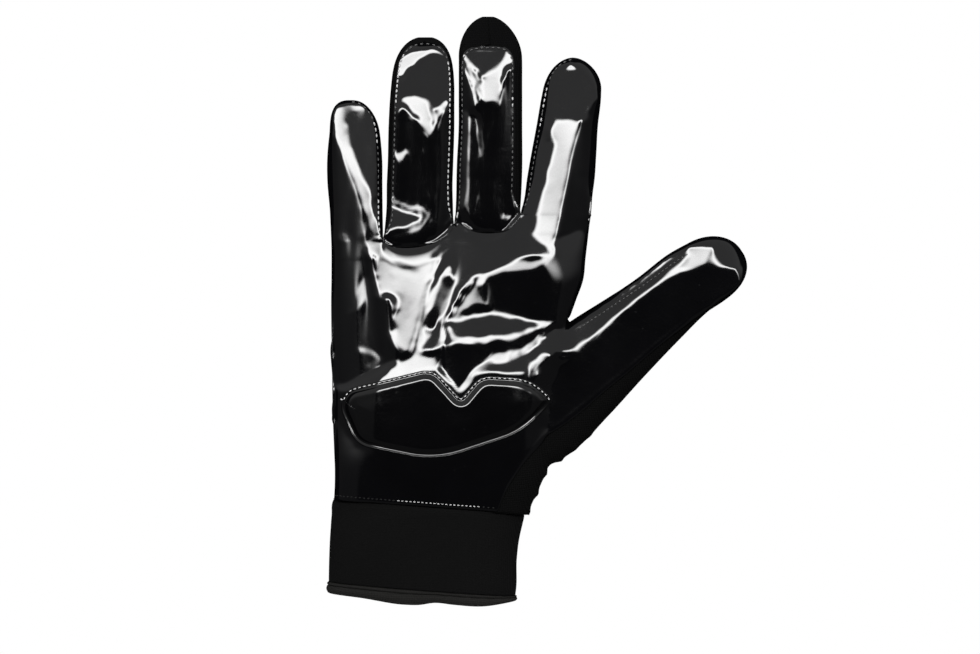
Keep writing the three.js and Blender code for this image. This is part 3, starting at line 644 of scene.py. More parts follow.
zones = [  # turn is the lean's direction in degrees from the fingertips' side, clockwise. Places are in px.
    # black grounds
    {"as": "black", "turn": 0, "area": [
        (328, 130), (335, 136), (346, 158), (366, 215), (366, 250), (376, 262), (378, 296), (392, 300),
        (398, 330), (392, 340), (405, 356), (380, 370), (345, 386), (328, 386),
    ]},
    {"as": "black", "turn": 0, "area": [
        (396, 116), (403, 110), (411, 116), (418, 123), (424, 133), (430, 146), (435, 126), (447, 110),
        (449, 220), (436, 240), (410, 249), (385, 243), (394, 200),
    ]},
    {"as": "black", "turn": 0, "area": [
        (480, 109), (499, 107), (501, 93), (502, 82), (507, 73), (514, 66), (513, 216), (503, 217), (500, 230),
        (484, 235), (470, 228), (478, 200),
    ]},
    {"as": "black", "turn": 0, "area": [(579, 120), (592, 120), (588, 230), (557, 240), (565, 190)]},
    {"as": "black", "turn": 0, "area": [
        (480, 288), (487, 280), (500, 275), (520, 272), (535, 275), (543, 266), (552, 285), (558, 300),
        (561, 318), (540, 319), (510, 314), (492, 309), (483, 300),
    ]},
    {"as": "black", "turn": 0, "area": [
        (444, 344), (500, 343), (515, 340), (540, 330), (520, 350), (498, 352), (472, 370), (460, 388),
        (445, 370), (437, 362), (437, 350),
    ]},
    {"as": "level", "turn": 0, "area": [
        (590, 346), (605, 331), (619, 317), (635, 304), (651, 291), (664, 282), (682, 272), (706, 268),
        (735, 268), (740, 285), (690, 318), (600, 392), (545, 430), (548, 390), (560, 366),
    ]},
    {"as": "black", "turn": 0, "area": [
        (328, 376), (340, 392), (366, 385), (436, 370), (461, 396), (481, 373), (531, 374), (552, 390),
        (541, 414), (500, 440), (440, 460), (357, 447), (338, 420), (330, 420),
    ]},
    {"as": "black", "turn": 0, "area": [(463, 66), (469, 84), (473, 108), (470, 116), (462, 112)]},
    {"as": "grey", "turn": 0, "area": [(434, 78), (446, 72), (447, 98), (440, 106), (434, 112), (430, 98)]},
    # grey grounds
    {"as": "grey", "turn": 0, "area": [
        (447, 226), (458, 222), (470, 240), (485, 245), (502, 240), (514, 226), (529, 226), (533, 237),
        (545, 250), (540, 257), (520, 258), (497, 263), (478, 275), (464, 290), (454, 310), (447, 322),
        (450, 290), (452, 272), (440, 268), (433, 280), (434, 260), (440, 246),
    ]},
    {"as": "side", "turn": 80, "area": [
        (440, 262), (434, 275), (428, 292), (420, 320), (415, 350), (411, 352), (414, 335), (420, 315),
        (426, 293), (432, 272), (433, 258),
    ]},
    {"as": "grey", "turn": 0, "area": [
        (452, 321), (466, 321), (482, 317), (497, 316), (515, 319), (540, 323), (556, 324), (540, 327),
        (520, 332), (500, 336), (480, 338), (460, 338), (452, 333),
    ]},
    {"as": "grey", "turn": 0, "area": [
        (500, 365), (507, 363), (522, 357), (545, 337), (556, 328), (568, 330), (576, 342), (572, 350),
        (560, 354), (550, 351), (540, 356), (530, 364), (526, 373), (496, 373),
    ]},
    {"as": "grey", "turn": 10, "area": [(424, 350), (430, 338), (440, 323), (439, 336), (434, 352)]},
    {"as": "grey", "turn": 35, "area": [
        (347, 119), (359, 115), (366, 109), (374, 118), (375, 200), (366, 186), (357, 164), (350, 146),
    ]},
    {"as": "grey", "turn": 5, "area": [
        (403, 84), (412, 73), (422, 63), (432, 58), (441, 58), (447, 70), (440, 76), (432, 84), (428, 100),
        (420, 98), (403, 97),
    ]},
    {"as": "grey", "turn": 0, "area": [
        (389, 207), (400, 211), (415, 215), (423, 218), (415, 225), (400, 230), (387, 232),
    ]},
    {"as": "grey", "turn": 0, "area": [(468, 53), (501, 53), (502, 58), (494, 67), (481, 79), (474, 66)]},
    {"as": "dim", "turn": 0, "area": [
        (470, 118), (477, 118), (478, 150), (477, 200), (473, 222), (468, 220), (470, 180),
    ]},
    {"as": "grey", "turn": -10, "area": [
        (550, 76), (560, 68), (575, 66), (592, 84), (596, 100), (580, 118), (556, 120), (548, 112),
    ]},
    {"as": "grey", "turn": -50, "area": [
        (540, 144), (551, 144), (551, 152), (544, 168), (540, 192), (535, 210), (528, 226), (522, 220),
        (530, 195), (536, 165),
    ]},
    {"as": "grey", "turn": -30, "area": [
        (568, 328), (585, 318), (612, 300), (640, 280), (668, 259), (683, 249), (686, 257), (674, 267),
        (663, 276), (649, 286), (633, 299), (617, 312), (603, 326), (590, 340), (578, 340),
    ]},
    # white areas
    {"as": "white", "turn": -5, "area": [
        (383, 241), (392, 247), (405, 251), (420, 250), (432, 244), (440, 236), (447, 223), (449, 227),
        (443, 242), (436, 252), (432, 262), (430, 275), (424, 295), (419, 315), (414, 335), (411, 350),
        (405, 354), (400, 348), (390, 336), (397, 327), (394, 318), (400, 310), (398, 300), (392, 296),
        (385, 294), (379, 298), (380, 280), (379, 262), (372, 255), (366, 245), (371, 236), (372, 225),
        (378, 215),
    ]},
    {"as": "white", "turn": -25, "area": [
        (545, 246), (549, 254), (540, 260), (520, 262), (500, 267), (482, 276), (468, 290), (458, 306),
        (450, 320), (457, 321), (464, 312), (474, 305), (482, 307), (490, 307), (480, 296), (479, 287),
        (486, 280), (500, 275), (515, 271), (530, 273), (541, 267), (552, 256), (555, 246),
    ]},
    {"as": "white", "turn": 10, "area": [
        (332, 112), (333, 130), (339, 146), (346, 162), (352, 178), (358, 194), (364, 212), (370, 232),
        (379, 240), (378, 225), (374, 210), (369, 194), (363, 178), (357, 163), (351, 148), (347, 134),
        (347, 122), (352, 114), (362, 112), (368, 107), (352, 103), (340, 106),
    ]},
    {"as": "white", "turn": -20, "area": [
        (397, 80), (397, 64), (403, 57), (415, 51), (432, 48), (444, 53), (448, 60), (440, 56), (430, 56),
        (420, 61), (410, 70), (402, 80),
    ]},
    {"as": "white", "turn": 0, "area": [
        (402, 99), (410, 97), (420, 99), (427, 106), (431, 122), (431, 142), (425, 130), (420, 121), (412, 114),
        (405, 107),
    ]},
    {"as": "white", "turn": -20, "area": [
        (393, 156), (400, 154), (407, 150), (409, 153), (403, 165), (398, 161),
    ]},
    {"as": "white", "turn": 0, "area": [
        (505, 52), (512, 57), (512, 64), (505, 71), (500, 80), (499, 92), (500, 105), (491, 103), (482, 106),
        (481, 92), (482, 83), (490, 76), (498, 68), (503, 60),
    ]},
    {"as": "white", "turn": -15, "area": [
        (548, 132), (556, 124), (564, 121), (573, 121), (577, 126), (576, 140), (572, 155), (568, 175),
        (564, 195), (560, 215), (557, 235), (552, 240), (555, 248), (548, 252), (538, 240), (531, 233),
        (536, 222), (540, 210), (543, 190), (546, 172), (550, 160), (554, 148), (553, 138),
    ]},
    {"as": "white", "turn": -10, "area": [
        (377, 384), (383, 374), (392, 367), (402, 361), (412, 356), (417, 350), (421, 356), (435, 354),
        (440, 361), (433, 369), (415, 373), (400, 377),
    ]},
    {"as": "dim", "turn": -5, "area": [(397, 260), (408, 263), (420, 270), (416, 274), (404, 271), (396, 265)]},
    {"as": "pale", "turn": -5, "wide": 3.5, "line": [(394, 276), (397, 290), (402, 300)]},
    {"as": "pale", "turn": -5, "wide": 3.0, "line": [(410, 280), (411, 300), (408, 318)]},
    {"as": "white", "turn": 0, "area": [
        (490, 356), (498, 352), (508, 353), (509, 360), (500, 364), (494, 364),
    ]},
    {"as": "white", "turn": -20, "area": [
        (685, 248), (700, 246), (712, 248), (707, 256), (705, 266), (694, 269), (682, 270), (673, 273),
        (663, 280), (656, 284), (662, 277), (672, 269), (684, 264), (688, 258),
    ]},
    {"as": "white", "turn": -25, "wide": 2.0, "line": [
        (664, 279), (650, 289), (634, 302), (618, 315), (604, 329), (592, 342),
    ]},
    {"as": "pale", "turn": -20, "area": [
        (348, 314), (355, 308), (358, 296), (362, 284), (367, 278), (369, 288), (366, 300), (360, 310),
    ]},
    {"as": "pale", "turn": 0, "area": [(566, 70), (568, 66), (572, 63), (577, 68), (576, 71)]},
    # white and pale lines
    {"as": "white", "turn": -35, "wide": 4.5, "line": [
        (450, 268), (443, 276), (436, 290), (429, 305), (424, 320), (419, 338), (417, 354),
    ]},
    {"as": "white", "turn": 20, "wide": 3.5, "line": [
        (452, 284), (448, 300), (442, 316), (441, 325), (444, 342),
    ]},
    {"as": "level", "turn": 0, "wide": 9.0, "line": [(448, 280), (442, 296), (436, 312), (431, 326)]},
    {"as": "white", "turn": 0, "wide": 3.5, "line": [
        (450, 321), (462, 319), (480, 315), (492, 314), (510, 317), (540, 322), (556, 324),
    ]},
    {"as": "white", "turn": 0, "wide": 3.5, "line": [
        (449, 326), (451, 335), (458, 340), (475, 341), (500, 339), (515, 335), (530, 330), (545, 325),
        (556, 324),
    ]},
    {"as": "white", "turn": -20, "wide": 3.0, "line": [(543, 334), (533, 343), (522, 352), (510, 358)]},
    {"as": "white", "turn": -25, "wide": 2.5, "line": [
        (549, 355), (538, 360), (530, 368), (529, 373), (536, 375),
    ]},
    {"as": "pale", "turn": 0, "wide": 4.0, "line": [(557, 356), (568, 358)]},
    {"as": "white", "turn": -10, "wide": 3.0, "line": [(480, 373), (473, 375)]},
    {"as": "pale", "turn": 10, "wide": 2.5, "line": [
        (360, 350), (370, 352), (381, 357), (376, 364), (368, 367),
    ]},
    {"as": "pale", "turn": 0, "wide": 6.0, "line": [(342, 238), (348, 239)]},
    {"as": "pale", "turn": 0, "wide": 3.0, "line": [(447, 103), (441, 110), (438, 118), (438, 130)]},
    {"as": "pale", "turn": 0, "wide": 2.0, "line": [(422, 150), (424, 165), (428, 182), (433, 200)]},
    {"as": "white", "turn": 0, "wide": 4.5, "line": [
        (391, 200), (400, 204), (412, 209), (424, 210), (429, 214), (428, 222), (421, 229), (408, 234),
        (395, 238), (385, 239),
    ]},
    {"as": "white", "turn": 0, "wide": 3.0, "line": [(465, 49.5), (480, 49), (495, 49.5), (507, 53)]},
    {"as": "white", "turn": -10, "wide": 3.5, "line": [(462, 54), (467, 65), (472, 82), (476, 108)]},
    {"as": "grey", "turn": 0, "area": [(471, 66), (481, 81), (480, 102), (478, 98), (475, 82)]},
    {"as": "white", "turn": 0, "wide": 3.5, "line": [
        (459, 219), (464, 226), (471, 233), (481, 237.5), (493, 236), (502, 231), (505, 222), (504, 216),
    ]},
    {"as": "dim", "turn": 0, "wide": 1.5, "line": [(485, 135), (486, 190)]},
    {"as": "dim", "turn": 0, "wide": 1.5, "line": [(491, 115), (492, 200)]},
    {"as": "pale", "turn": -30, "wide": 3.0, "line": [
        (617, 293), (628, 286), (641, 277), (655, 268), (668, 257),
    ]},
]
solver = {"cell": 0.5, "west": -96.0, "south": -96.0, "cols": 384, "rows": 456, "rounds": 110, "soften": 0.6,
          "loose": 0.02, "hold": 0.6, "padHold": 0.0003, "rim": 0.7, "slack": 0.0006, "waver": 0.35,
          "stiff": 0.12, "base": 0.02}


def onGlove(points):
    # photo px to the frame's mm: x = (px - originX) mmPerPx, y = (originY - py) mmPerPx
    p = np.array(points, float)
    return np.stack([(p[:, 0] - photo["originX"]), (photo["originY"] - p[:, 1])], axis=-1) * photo["mmPerPx"]


def within(outline, x, y):
    # even-odd rule: a place is inside if a ray to the east crosses the outline an odd number of times
    inside = np.zeros(x.shape, bool)
    for (ax, ay), (bx, by) in zip(outline, np.roll(outline, -1, axis=0)):
        crosses = (ay > y) != (by > y)
        inside ^= crosses & (x < ax + (y - ay) * (bx - ax) / (by - ay if by != ay else 1 / far))
    return inside


def nearLine(line, x, y):
    # least distance to a polyline's runs, each from its nearest point
    best = np.full(x.shape, far)
    for (ax, ay), (bx, by) in zip(line[:-1], line[1:]):
        t = np.clip(((x - ax) * (bx - ax) + (y - ay) * (by - ay)) / ((bx - ax) ** 2 + (by - ay) ** 2), 0, 1)
        best = np.minimum(best, np.hypot(x - ax - t * (bx - ax), y - ay - t * (by - ay)))
    return best


webOpen = {"below": 1.2, "length": 2.0}  # where a finger's inner side begins to fall away


def webTop(f, x, y):
    # the hand's height, turning into finger f's above the web. Towards its neighbours the finger's section
    # stays level until the web line, so no valley runs down into the palm from the crotch.
    centre, half, level, up, down = fingerParts(f, y)
    a = (x - centre) / np.maximum(half, tiny)
    opened = ease((y - webAt(x) + webOpen["below"]) / webOpen["length"])
    left = a if f["seamL"] is None else a * opened
    right = a if f["seamR"] is None else a * opened
    own = level + up * arch(np.where(a < 0, left, right), roundnessAt(f, y))
    return mix(handTop(x, y), own, webShare(x, y))


def plainTop(x, y):
    # the leather's top without its relief: the hand, turning into each finger above the web, and the thumb
    k = np.searchsorted(borders["web"], x)
    top = np.choose(k, [webTop(f, x, y) for f in fingers.values()])
    return softMax(top, thumbTop(x, y), crease)


reach = {"web": 2, "tip": 0.3, "root": 5, "outside": -9}  # where a finger or the thumb counts, in mm


def leatherMargin(x, y):
    # how far inside the sides of a finger, the hand or the thumb a place lies: half - |x - centre|, in mm
    centre, half, *_ = handParts(y)
    margin = np.where(y < webAt(x) + reach["web"], half - np.abs(x - centre), reach["outside"])
    for f in fingers.values():
        centre, half, *_ = fingerParts(f, y)
        mine = (y > webAt(x) - reach["web"]) & (y < f["tip"] - reach["tip"])
        margin = np.maximum(margin, np.where(mine, half - np.abs(x - centre), reach["outside"]))
    s, across = thumbCoords(x, y)
    side, half, *_ = thumbParts(s)
    mine = (s > reach["root"]) & (s < thumb["tip"] - reach["tip"])
    return np.maximum(margin, np.where(mine, half - np.abs(across - side), reach["outside"]))


def solveRelief():
    # least squares by conjugate gradients: sum of wx (dh/dx - gx)^2 + wy (dh/dy - gy)^2 + m h^2, with the
    # plain Laplacian inverted in the frequency domain as the preconditioner. A zone's slopes g turn the view
    # ray by its reach: half the reach plus half the ray's own lean.
    cell, shape = solver["cell"], (solver["rows"], solver["cols"])
    x = solver["west"] + cell * np.arange(shape[1])[None, :] + np.zeros(shape)
    y = solver["south"] + cell * np.arange(shape[0])[:, None] + np.zeros(shape)
    plain = np.maximum(plainTop(x, y), 0)
    baseX = (np.roll(plain, -1, 1) - plain) / cell
    baseY = (np.roll(plain, -1, 0) - plain) / cell
    slopeX, slopeY = baseX.copy(), baseY.copy()
    across, along = np.full(shape, solver["loose"]), np.full(shape, solver["loose"])
    viewX, viewY = (camera["x"] - x) / camera["height"], (camera["y"] - y) / camera["height"]
    wavedX = x + solver["waver"] * np.sin(0.9 * x + 1.3 * np.sin(0.5 * y))  # unsteadies the outlines
    wavedY = y + solver["waver"] * np.sin(0.8 * y + 1.7 * np.sin(0.6 * x))
    for zone in zones:
        kind = mirrors[zone["as"]]
        if "area" in zone:
            here = within(onGlove(zone["area"]), wavedX, wavedY)
        else:
            here = nearLine(onGlove(zone["line"]), wavedX, wavedY) < zone["wide"] * photo["mmPerPx"] / 2
        lean = np.radians(zone["turn"])
        slopeX = np.where(here, -(kind["reach"] * np.sin(lean) + viewX) / 2, slopeX)
        slopeY = np.where(here, -(kind["reach"] * np.cos(lean) + viewY) / 2, slopeY)
        if zone["as"] == "black":
            slopeX = np.where(here, baseX, slopeX)
        across, along = np.where(here, kind["across"], across), np.where(here, kind["along"], along)
    margin = leatherMargin(x, y)
    fixed = 1 - ease(margin / solver["rim"])
    hold = solver["hold"] * (margin < 0)
    hold = np.maximum(hold, solver["padHold"] * within(padInner, x, y))
    goalX, goalY = slopeX - baseX, slopeY - baseY
    free = margin > solver["rim"]
    goalX, goalY = np.where(free, goalX, 0), np.where(free, goalY, 0)
    across, along = np.where(free, across, solver["slack"]), np.where(free, along, solver["slack"])
    kx = 2 * np.sin(np.pi * np.fft.rfftfreq(shape[1])) / cell
    ky = 2 * np.sin(np.pi * np.fft.fftfreq(shape[0])) / cell
    square = kx[None, :] ** 2 + ky[:, None] ** 2

    def apply(h):
        # the normal equations' left side: -div(w grad h) + m h
        ax, ay = across * (np.roll(h, -1, 1) - h) / cell, along * (np.roll(h, -1, 0) - h) / cell
        return (np.roll(ax, 1, 1) - ax + np.roll(ay, 1, 0) - ay) / cell + hold * h

    def precondition(r):
        # r / (stiff k^2 + base) at each frequency k
        return np.fft.irfft2(np.fft.rfft2(r) / (solver["stiff"] * square + solver["base"]), s=shape)

    ax, ay = across * goalX, along * goalY
    rest = (np.roll(ax, 1, 1) - ax + np.roll(ay, 1, 0) - ay) / cell
    h = np.zeros(shape)
    z = precondition(rest)
    way, size = z, (rest * z).sum()
    for _ in range(solver["rounds"]):
        bent = apply(way)
        step = size / (way * bent).sum()
        h, rest = h + step * way, rest - step * bent
        z = precondition(rest)
        new = (rest * z).sum()
        way, size = z + new / size * way, new
    waveX = 2 * np.pi * np.fft.rfftfreq(shape[1], cell)[None, :]
    waveY = 2 * np.pi * np.fft.fftfreq(shape[0], cell)[:, None]
    blur = np.exp(-(waveX ** 2 + waveY ** 2) * solver["soften"] ** 2 / 2)
    h = np.fft.irfft2(np.fft.rfft2(h) * blur, s=shape)
    return h * (1 - fixed)


def reliefAt(x, y):
    # Catmull-Rom between the solver's cells: the 4 x 4 neighbours, weighted by cubicShares each way
    u, v = (x - solver["west"]) / solver["cell"], (y - solver["south"]) / solver["cell"]
    i, j = np.floor(u).astype(int), np.floor(v).astype(int)
    tu, tv = u - i, v - j
    total = 0
    for dj, wj in enumerate(cubicShares(tv)):
        for di, wi in enumerate(cubicShares(tu)):
            total = total + wi * wj * reliefGrid[np.clip(j + dj - 1, 0, solver["rows"] - 1),
                                                 np.clip(i + di - 1, 0, solver["cols"] - 1)]
    return total


def cubicShares(t):
    # weights of the four neighbours of a place t between the middle two
    return ((-t + 2 * t**2 - t**3) / 2, (2 - 5 * t**2 + 3 * t**3) / 2,
            (t + 4 * t**2 - 3 * t**3) / 2, (t**3 - t**2) / 2)


# the padded middle of the heel pad, where the relief is held low
padInner = np.array([
    (-80.0, -44.0), (-78.0, -38.0), (-46.0, -29.0), (-32.4, -43.0), (-22.0, -32.0), (-4.0, -33.0),
    (3.0, -39.0), (-9.0, -49.0), (-43.0, -60.0), (-75.0, -54.0),
])
reliefGrid = solveRelief()
print("relief solved", round(float(reliefGrid.min()), 2), round(float(reliefGrid.max()), 2))


seamGroove = {"deep": 1.0, "wide": 1.5, "sides": 0.4}


def grooveAt(x, y, t):
    # depth of the round seam's groove: deep e^(-|y - web| / wide) sin(pi t)^sides, t across the finger
    away = np.abs(y - webAt(x))
    return seamGroove["deep"] * np.exp(-away / seamGroove["wide"]) * np.sin(np.pi * t) ** seamGroove["sides"]


def combPoint(k, t, y):
    # a point of the palm and finger fronts: finger k's columns, t from 0 to 1 across them, at the height y.
    # Below the web it is the hand's section, above it the finger's, and the two are mixed between them.
    name = order[k]
    f = fingers[name]
    first, last = fingerAngles(name, y)
    angleF = spreadAngle(first, last, t)
    xf, zf, topF = sectionPoint(*fingerParts(f, y), angleF, roundnessAt(f, y))
    start = np.full_like(y, -wrapAngle) if k == 0 else handAngle(borderAt(k - 1, y), y)
    end = rightEnd(y) if k == 3 else handAngle(borderAt(k, y), y)
    angleH = spreadAngle(start, end, t)
    xh, zh, topH = sectionPoint(*handParts(y), angleH, hand["round"])
    w = webShare(xf, y)
    x = mix(xh, xf, w)
    z = np.where(topH & topF, webTop(f, x, y), mix(zh, zf, w))
    if name in ("ring", "middle"):
        z = z - grooveAt(xf, y, t)
    lifted = softMax(z, thumbTop(x, y), crease) + reliefAt(x, y)
    if name == "index":
        lifted = lifted + ridgeAt(x, y)
    return np.stack([x, y, np.where(topH, lifted, z)], axis=-1)


def combPatch(k, cols, rows):
    # finger k's columns of the palm: y goes from the cuff seam to the web line, closer at the web
    t, r = rowOf(cols), columnOf(rows)
    r = mix(r, crowded(r, 1.6), 0.5)
    y = mix(cuffSeamAt(columnAt("cuff", k, t)) + 0 * r, webAt(columnAt("web", k, t)) + 0 * r, r)
    return combPoint(k, t + 0 * r, y)


def tonguePatch(k, cols, rows):
    # finger k's own front: y goes from the web line to the fingertip, closer at the tip
    t, r = rowOf(cols), crowded(columnOf(rows), 1.5)
    y = mix(webAt(columnAt("web", k, t)) + 0 * r, fingers[order[k]]["tip"], r)
    return combPoint(k, t + 0 * r, y)


palm = {"cols": [46, 36, 36, 52], "rows": 150, "tongueRows": 84, "thumbRows": 120, "wall": 1.2,
        "borderFade": 5, "tongueFade": 8, "thumbInner": 0.12, "thumbSpread": 38}

patches = [combPatch(k, palm["cols"][k], palm["rows"]) for k in range(4)]
for one, next_ in zip(patches[:-1], patches[1:]):  # neighbours meet halfway, the shift dying out inside each
    shift = (one[:, -1:] - next_[:, :1]) / 2
    one -= shift * np.linspace(0, 1, one.shape[1])[None, :, None] ** palm["borderFade"]
    next_ += shift * np.linspace(1, 0, next_.shape[1])[None, :, None] ** palm["borderFade"]
tongues = [tonguePatch(k, palm["cols"][k], palm["tongueRows"]) for k in (0, 3)]
# each tongue starts on its patch's last row, the shift dying out above it
for k, tongue in zip((0, 3), tongues):
    fade = (1 - np.linspace(0, 1, palm["tongueRows"])[:, None, None]) ** palm["tongueFade"]
    tongue += (patches[k][-1:] - tongue[:1]) * fade

# The thumb's front starts on the palm's right edge, row for row
edge = patches[3][:, -1]
onRoot = (edge[:, 1] >= rootFrom) & (edge[:, 1] <= rootTo + 0.5)
root = edge[onRoot]


def thumbPatch(root, rows):
    # s runs from the root line to the tip, and the place across goes from the root's own to an even spread
    s0, across0 = thumbCoords(root[:, 0], root[:, 1])
    j, r = rowOf(len(root)), crowded(columnOf(rows), 1.4)
    s = mix(s0[None, :], thumb["tip"], r)
    side, half, level, up, down = thumbParts(s)
    seamS, seamAcross = thumbCoords(*np.array(thumbSeam).T)
    seamShare = (np.interp(s, seamS, seamAcross) - side) / np.maximum(half, tiny)
    outer = np.arccos(np.clip(-seamShare, -1, 1))
    even = side - half * np.cos(mix(outer, palm["thumbInner"], j))
    w = ease((s - s0[None, :]) / palm["thumbSpread"])
    across = mix(np.where(r < 1, across0[None, :], even), even, w)
    x, y = thumbPlace(s, across)
    z = palmTop(x, y) + ridgeAt(x, y) + reliefAt(x, y)
    z[0] = root[:, 2]
    x[0], y[0] = root[:, 0], root[:, 1]
    return np.stack([x, y, z], axis=-1)


thumbFront = thumbPatch(root, palm["thumbRows"])
palmPiece = makeMesh("palm_cover", [*patches, *tongues, thumbFront[:, ::-1]], palmGloss)
thicken(palmPiece, palm["wall"])
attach(palmPiece, "root")
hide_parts("palm_leather")
print("palm made", len(palmPiece.data.vertices))


# Faces of the ring and middle fingers
face = {"cols": 64, "rows": 130, "inset": {"ring": 2.6, "middle": 13.5}, "wall": 1.2, "roll": 0.5,
        "rollWide": 1.1, "capLength": 12, "square": {"ring": 0.2, "middle": 1.6}, "blend": 10}


def frontCap(name, y, tip):
    # the rounding of a finger's front towards the tip given, squarer and shorter where the face is sewn in
    f = fingers[name]
    if f["seamL"] is None or f["seamR"] is None:
        return capShare(y, f["cap"], tip, f["capPower"])
    return capShare(y, min(f["cap"], tip - face["capLength"]), tip, f["capPower"] + face["square"][name])


def facePatch(name, cols, rows):
    # y goes from the round seam to the face's own rounded tip, x = centre - share half cos(pi t), and the edge
    # rolls down by roll e^(-(d / rollWide)^2)
    k = order.index(name)
    f = fingers[name]
    tip = f["tip"] - face["inset"][name]
    t, r = rowOf(cols), crowded(columnOf(rows), 1.4)
    y = mix(webAt(columnAt("web", k, t)) + 0 * r, tip, r)
    centre, half, *_ = fingerParts(f, y)
    left, right = seamShares(f, y)
    full = half / np.maximum(tipCap(f, y), tiny)
    cap = frontCap(name, y, tip)
    angle = np.pi * t
    share = np.where(angle < np.pi / 2, -np.cos(angle) * left, -np.cos(angle) * right)
    x = centre + share * full * cap
    base = combPoint(k, t + 0 * r, y)
    w = ease((y - webAt(x)) / face["blend"])
    x = mix(base[..., 0], x, w)
    z = webTop(f, x, y) + reliefAt(x, y) - grooveAt(x, y, t)
    grid = np.stack([x, y, mix(base[..., 2], z, ease(w * 4))], axis=-1)
    edge = np.minimum(np.minimum(t, 1 - t) * full * 1.9, np.clip(tip - y, 0, None))
    grid[..., 2] -= face["roll"] * np.exp(-((edge / face["rollWide"]) ** 2)) * w
    return grid


for name, node in (("ring", "ring_face"), ("middle", "middle_face")):
    piece = makeMesh(name + "_front", [facePatch(name, face["cols"], face["rows"])], palmGloss)
    thicken(piece, face["wall"])
    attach(piece, "root")
    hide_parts(node)
print("finger faces made")


# Matt strips between the fingers. Each follows the two fingers' own sections, a little inside the
# leather, from the seam on the front to below the side: angle on the section by height.
strip = {"inset": 0.35, "wall": 0.9, "under": 0.75, "below": 9.0, "tuck": 0.9, "cols": 26, "rows": 96}


def sectionGrid(f, angle, y, inset):
    # the finger's section at each height, drawn in by inset, its front carrying the leather's relief
    centre, half, level, up, down = fingerParts(f, y)
    cap = capShare(y, f["cap"], f["tip"] - inset, f["capPower"])
    half, high, low = [np.clip(v - inset * cap, 0, None) for v in (half, up, down)]
    x, z, onTop = sectionPoint(centre, half, level, high, low, angle, roundnessAt(f, y))
    z = z + np.where(onTop, reliefAt(x, y) * ease((z - level) / np.maximum(up, 0.1) * 1.5), 0)
    return np.stack([x, y, z], axis=-1)


def stripSide(name, side):
    # side 0 is the finger's left, 1 its right. The seam's share falls to 0 past the face's own tip, and the
    # angle runs from arccos of that share to a little under the side.
    f = fingers[name]
    y0 = f["crotch"][side] - strip["below"]
    v, r = rowOf(strip["cols"]), crowded(columnOf(strip["rows"]), 1.5)
    y = mix(y0, f["tip"] - strip["inset"], r) + 0 * v
    share = seamShares(f, y)[side]
    if name in face["inset"]:
        share = share * frontCap(name, y, f["tip"] - face["inset"][name]) / np.maximum(tipCap(f, y), tiny)
    half = np.maximum(fingerParts(f, y)[1], 0.5)
    share = np.clip(share - strip["tuck"] / half, 0, 1)
    start = np.arccos(share)  # 0 is the outline, pi/2 the middle of the front
    angle = mix(start, -strip["under"], v)
    if side == 1:
        angle = np.pi - angle
    return sectionGrid(f, angle, y, strip["inset"])


for a, b, node in (("little", "ring", "side_strip_pinky_ring"), ("ring", "middle", "side_strip_ring_middle"),
                   ("middle", "index", "side_strip_middle_index")):
    left, right = stripSide(a, 1), stripSide(b, 0)
    web = np.stack([right[0], left[0]])  # closes the bottom of the gap
    piece = makeMesh("strip_" + a + "_" + b, [left, right[:, ::-1], web], sideKnit)
    thicken(piece, strip["wall"])
    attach(piece, "root")
    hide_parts(node)
print("side strips made")


# The back: closed tubes of the hand, the fingers and the thumb, joined by a voxel remesh. What lies under
# the leather is taken off, and the rest gets a wall.
back = {
    "inset": 0.6, "fingerInset": 2.0, "webInset": 4.0, "voxel": 1.5, "wall": 1.2, "rest": 0.15,
    "front": 12.5, "thumbFront": 15.5, "tuck": 3.0, "cuffTuck": 1.0,
}
gather = {  # small puckers pushed out of the edge between the thumb and the wrist
    "wide": 1.7, "out": 1.1, "way": (0.83, -0.56),
    "places": [(21.6, -52.6), (15.2, -58.4), (9.6, -64.0), (4.4, -70.0), (0.8, -79.0), (-2.4, -87.0)],
}


def closedTube(parts, along, power, place=None, sideInset=back["inset"]):
    # rings of 0 to 2 pi on each section, drawn in by the insets, and closed at both ends to their middle
    angle = np.linspace(0, 2 * np.pi, 65)[None, :]
    along = along[:, None] + 0 * angle
    centre, half, level, up, down = parts
    inner = np.clip(half - sideInset, 0, None)
    x, z, _ = sectionPoint(centre, inner, level, np.clip(up - back["inset"], 0, None),
                           np.clip(down - back["inset"], 0, None), angle, power)
    if place is not None:
        x, along = place(along, x)
    grid = np.stack([x, along, z], axis=-1)
    ends = [np.broadcast_to(g.mean(axis=0), g.shape)[None] for g in (grid[0], grid[-1])]
    return np.concatenate([ends[0], grid, ends[1]])


def bake(obj):
    # the modifiers' result becomes the mesh
    done = bpy.data.meshes.new_from_object(obj.evaluated_get(bpy.context.evaluated_depsgraph_get()))
    obj.modifiers.clear()
    old = obj.data
    obj.data = done
    bpy.data.meshes.remove(old)


def pointsOf(mesh):
    # the mesh's points in mm, (n, 3)
    co = np.empty(len(mesh.vertices) * 3, np.float32)
    mesh.vertices.foreach_get("co", co)
    return co.reshape(-1, 3) / mm


def keepFaces(obj, keep, points):
    # a new mesh of the quads whose corners are all kept
    mesh = obj.data
    corners = np.empty(len(mesh.loops), np.int32)
    mesh.loops.foreach_get("vertex_index", corners)
    quads = corners.reshape(-1, 4)
    quads = quads[keep[quads].all(axis=1)]
    used, inverse = np.unique(quads, return_inverse=True)
    new = bpy.data.meshes.new(obj.name)
    new.from_pydata(points[used] * mm, [], inverse.reshape(-1, 4).tolist())
    new.update()
    new.materials.append(mesh.materials[0])
    new.shade_smooth()
    obj.data = new
    bpy.data.meshes.remove(mesh)


tubeRuns = {"wrist": -94, "web": 30, "finger": 12, "thumb": 8, "rings": 90, "thumbRings": 110, "crowd": 1.4}


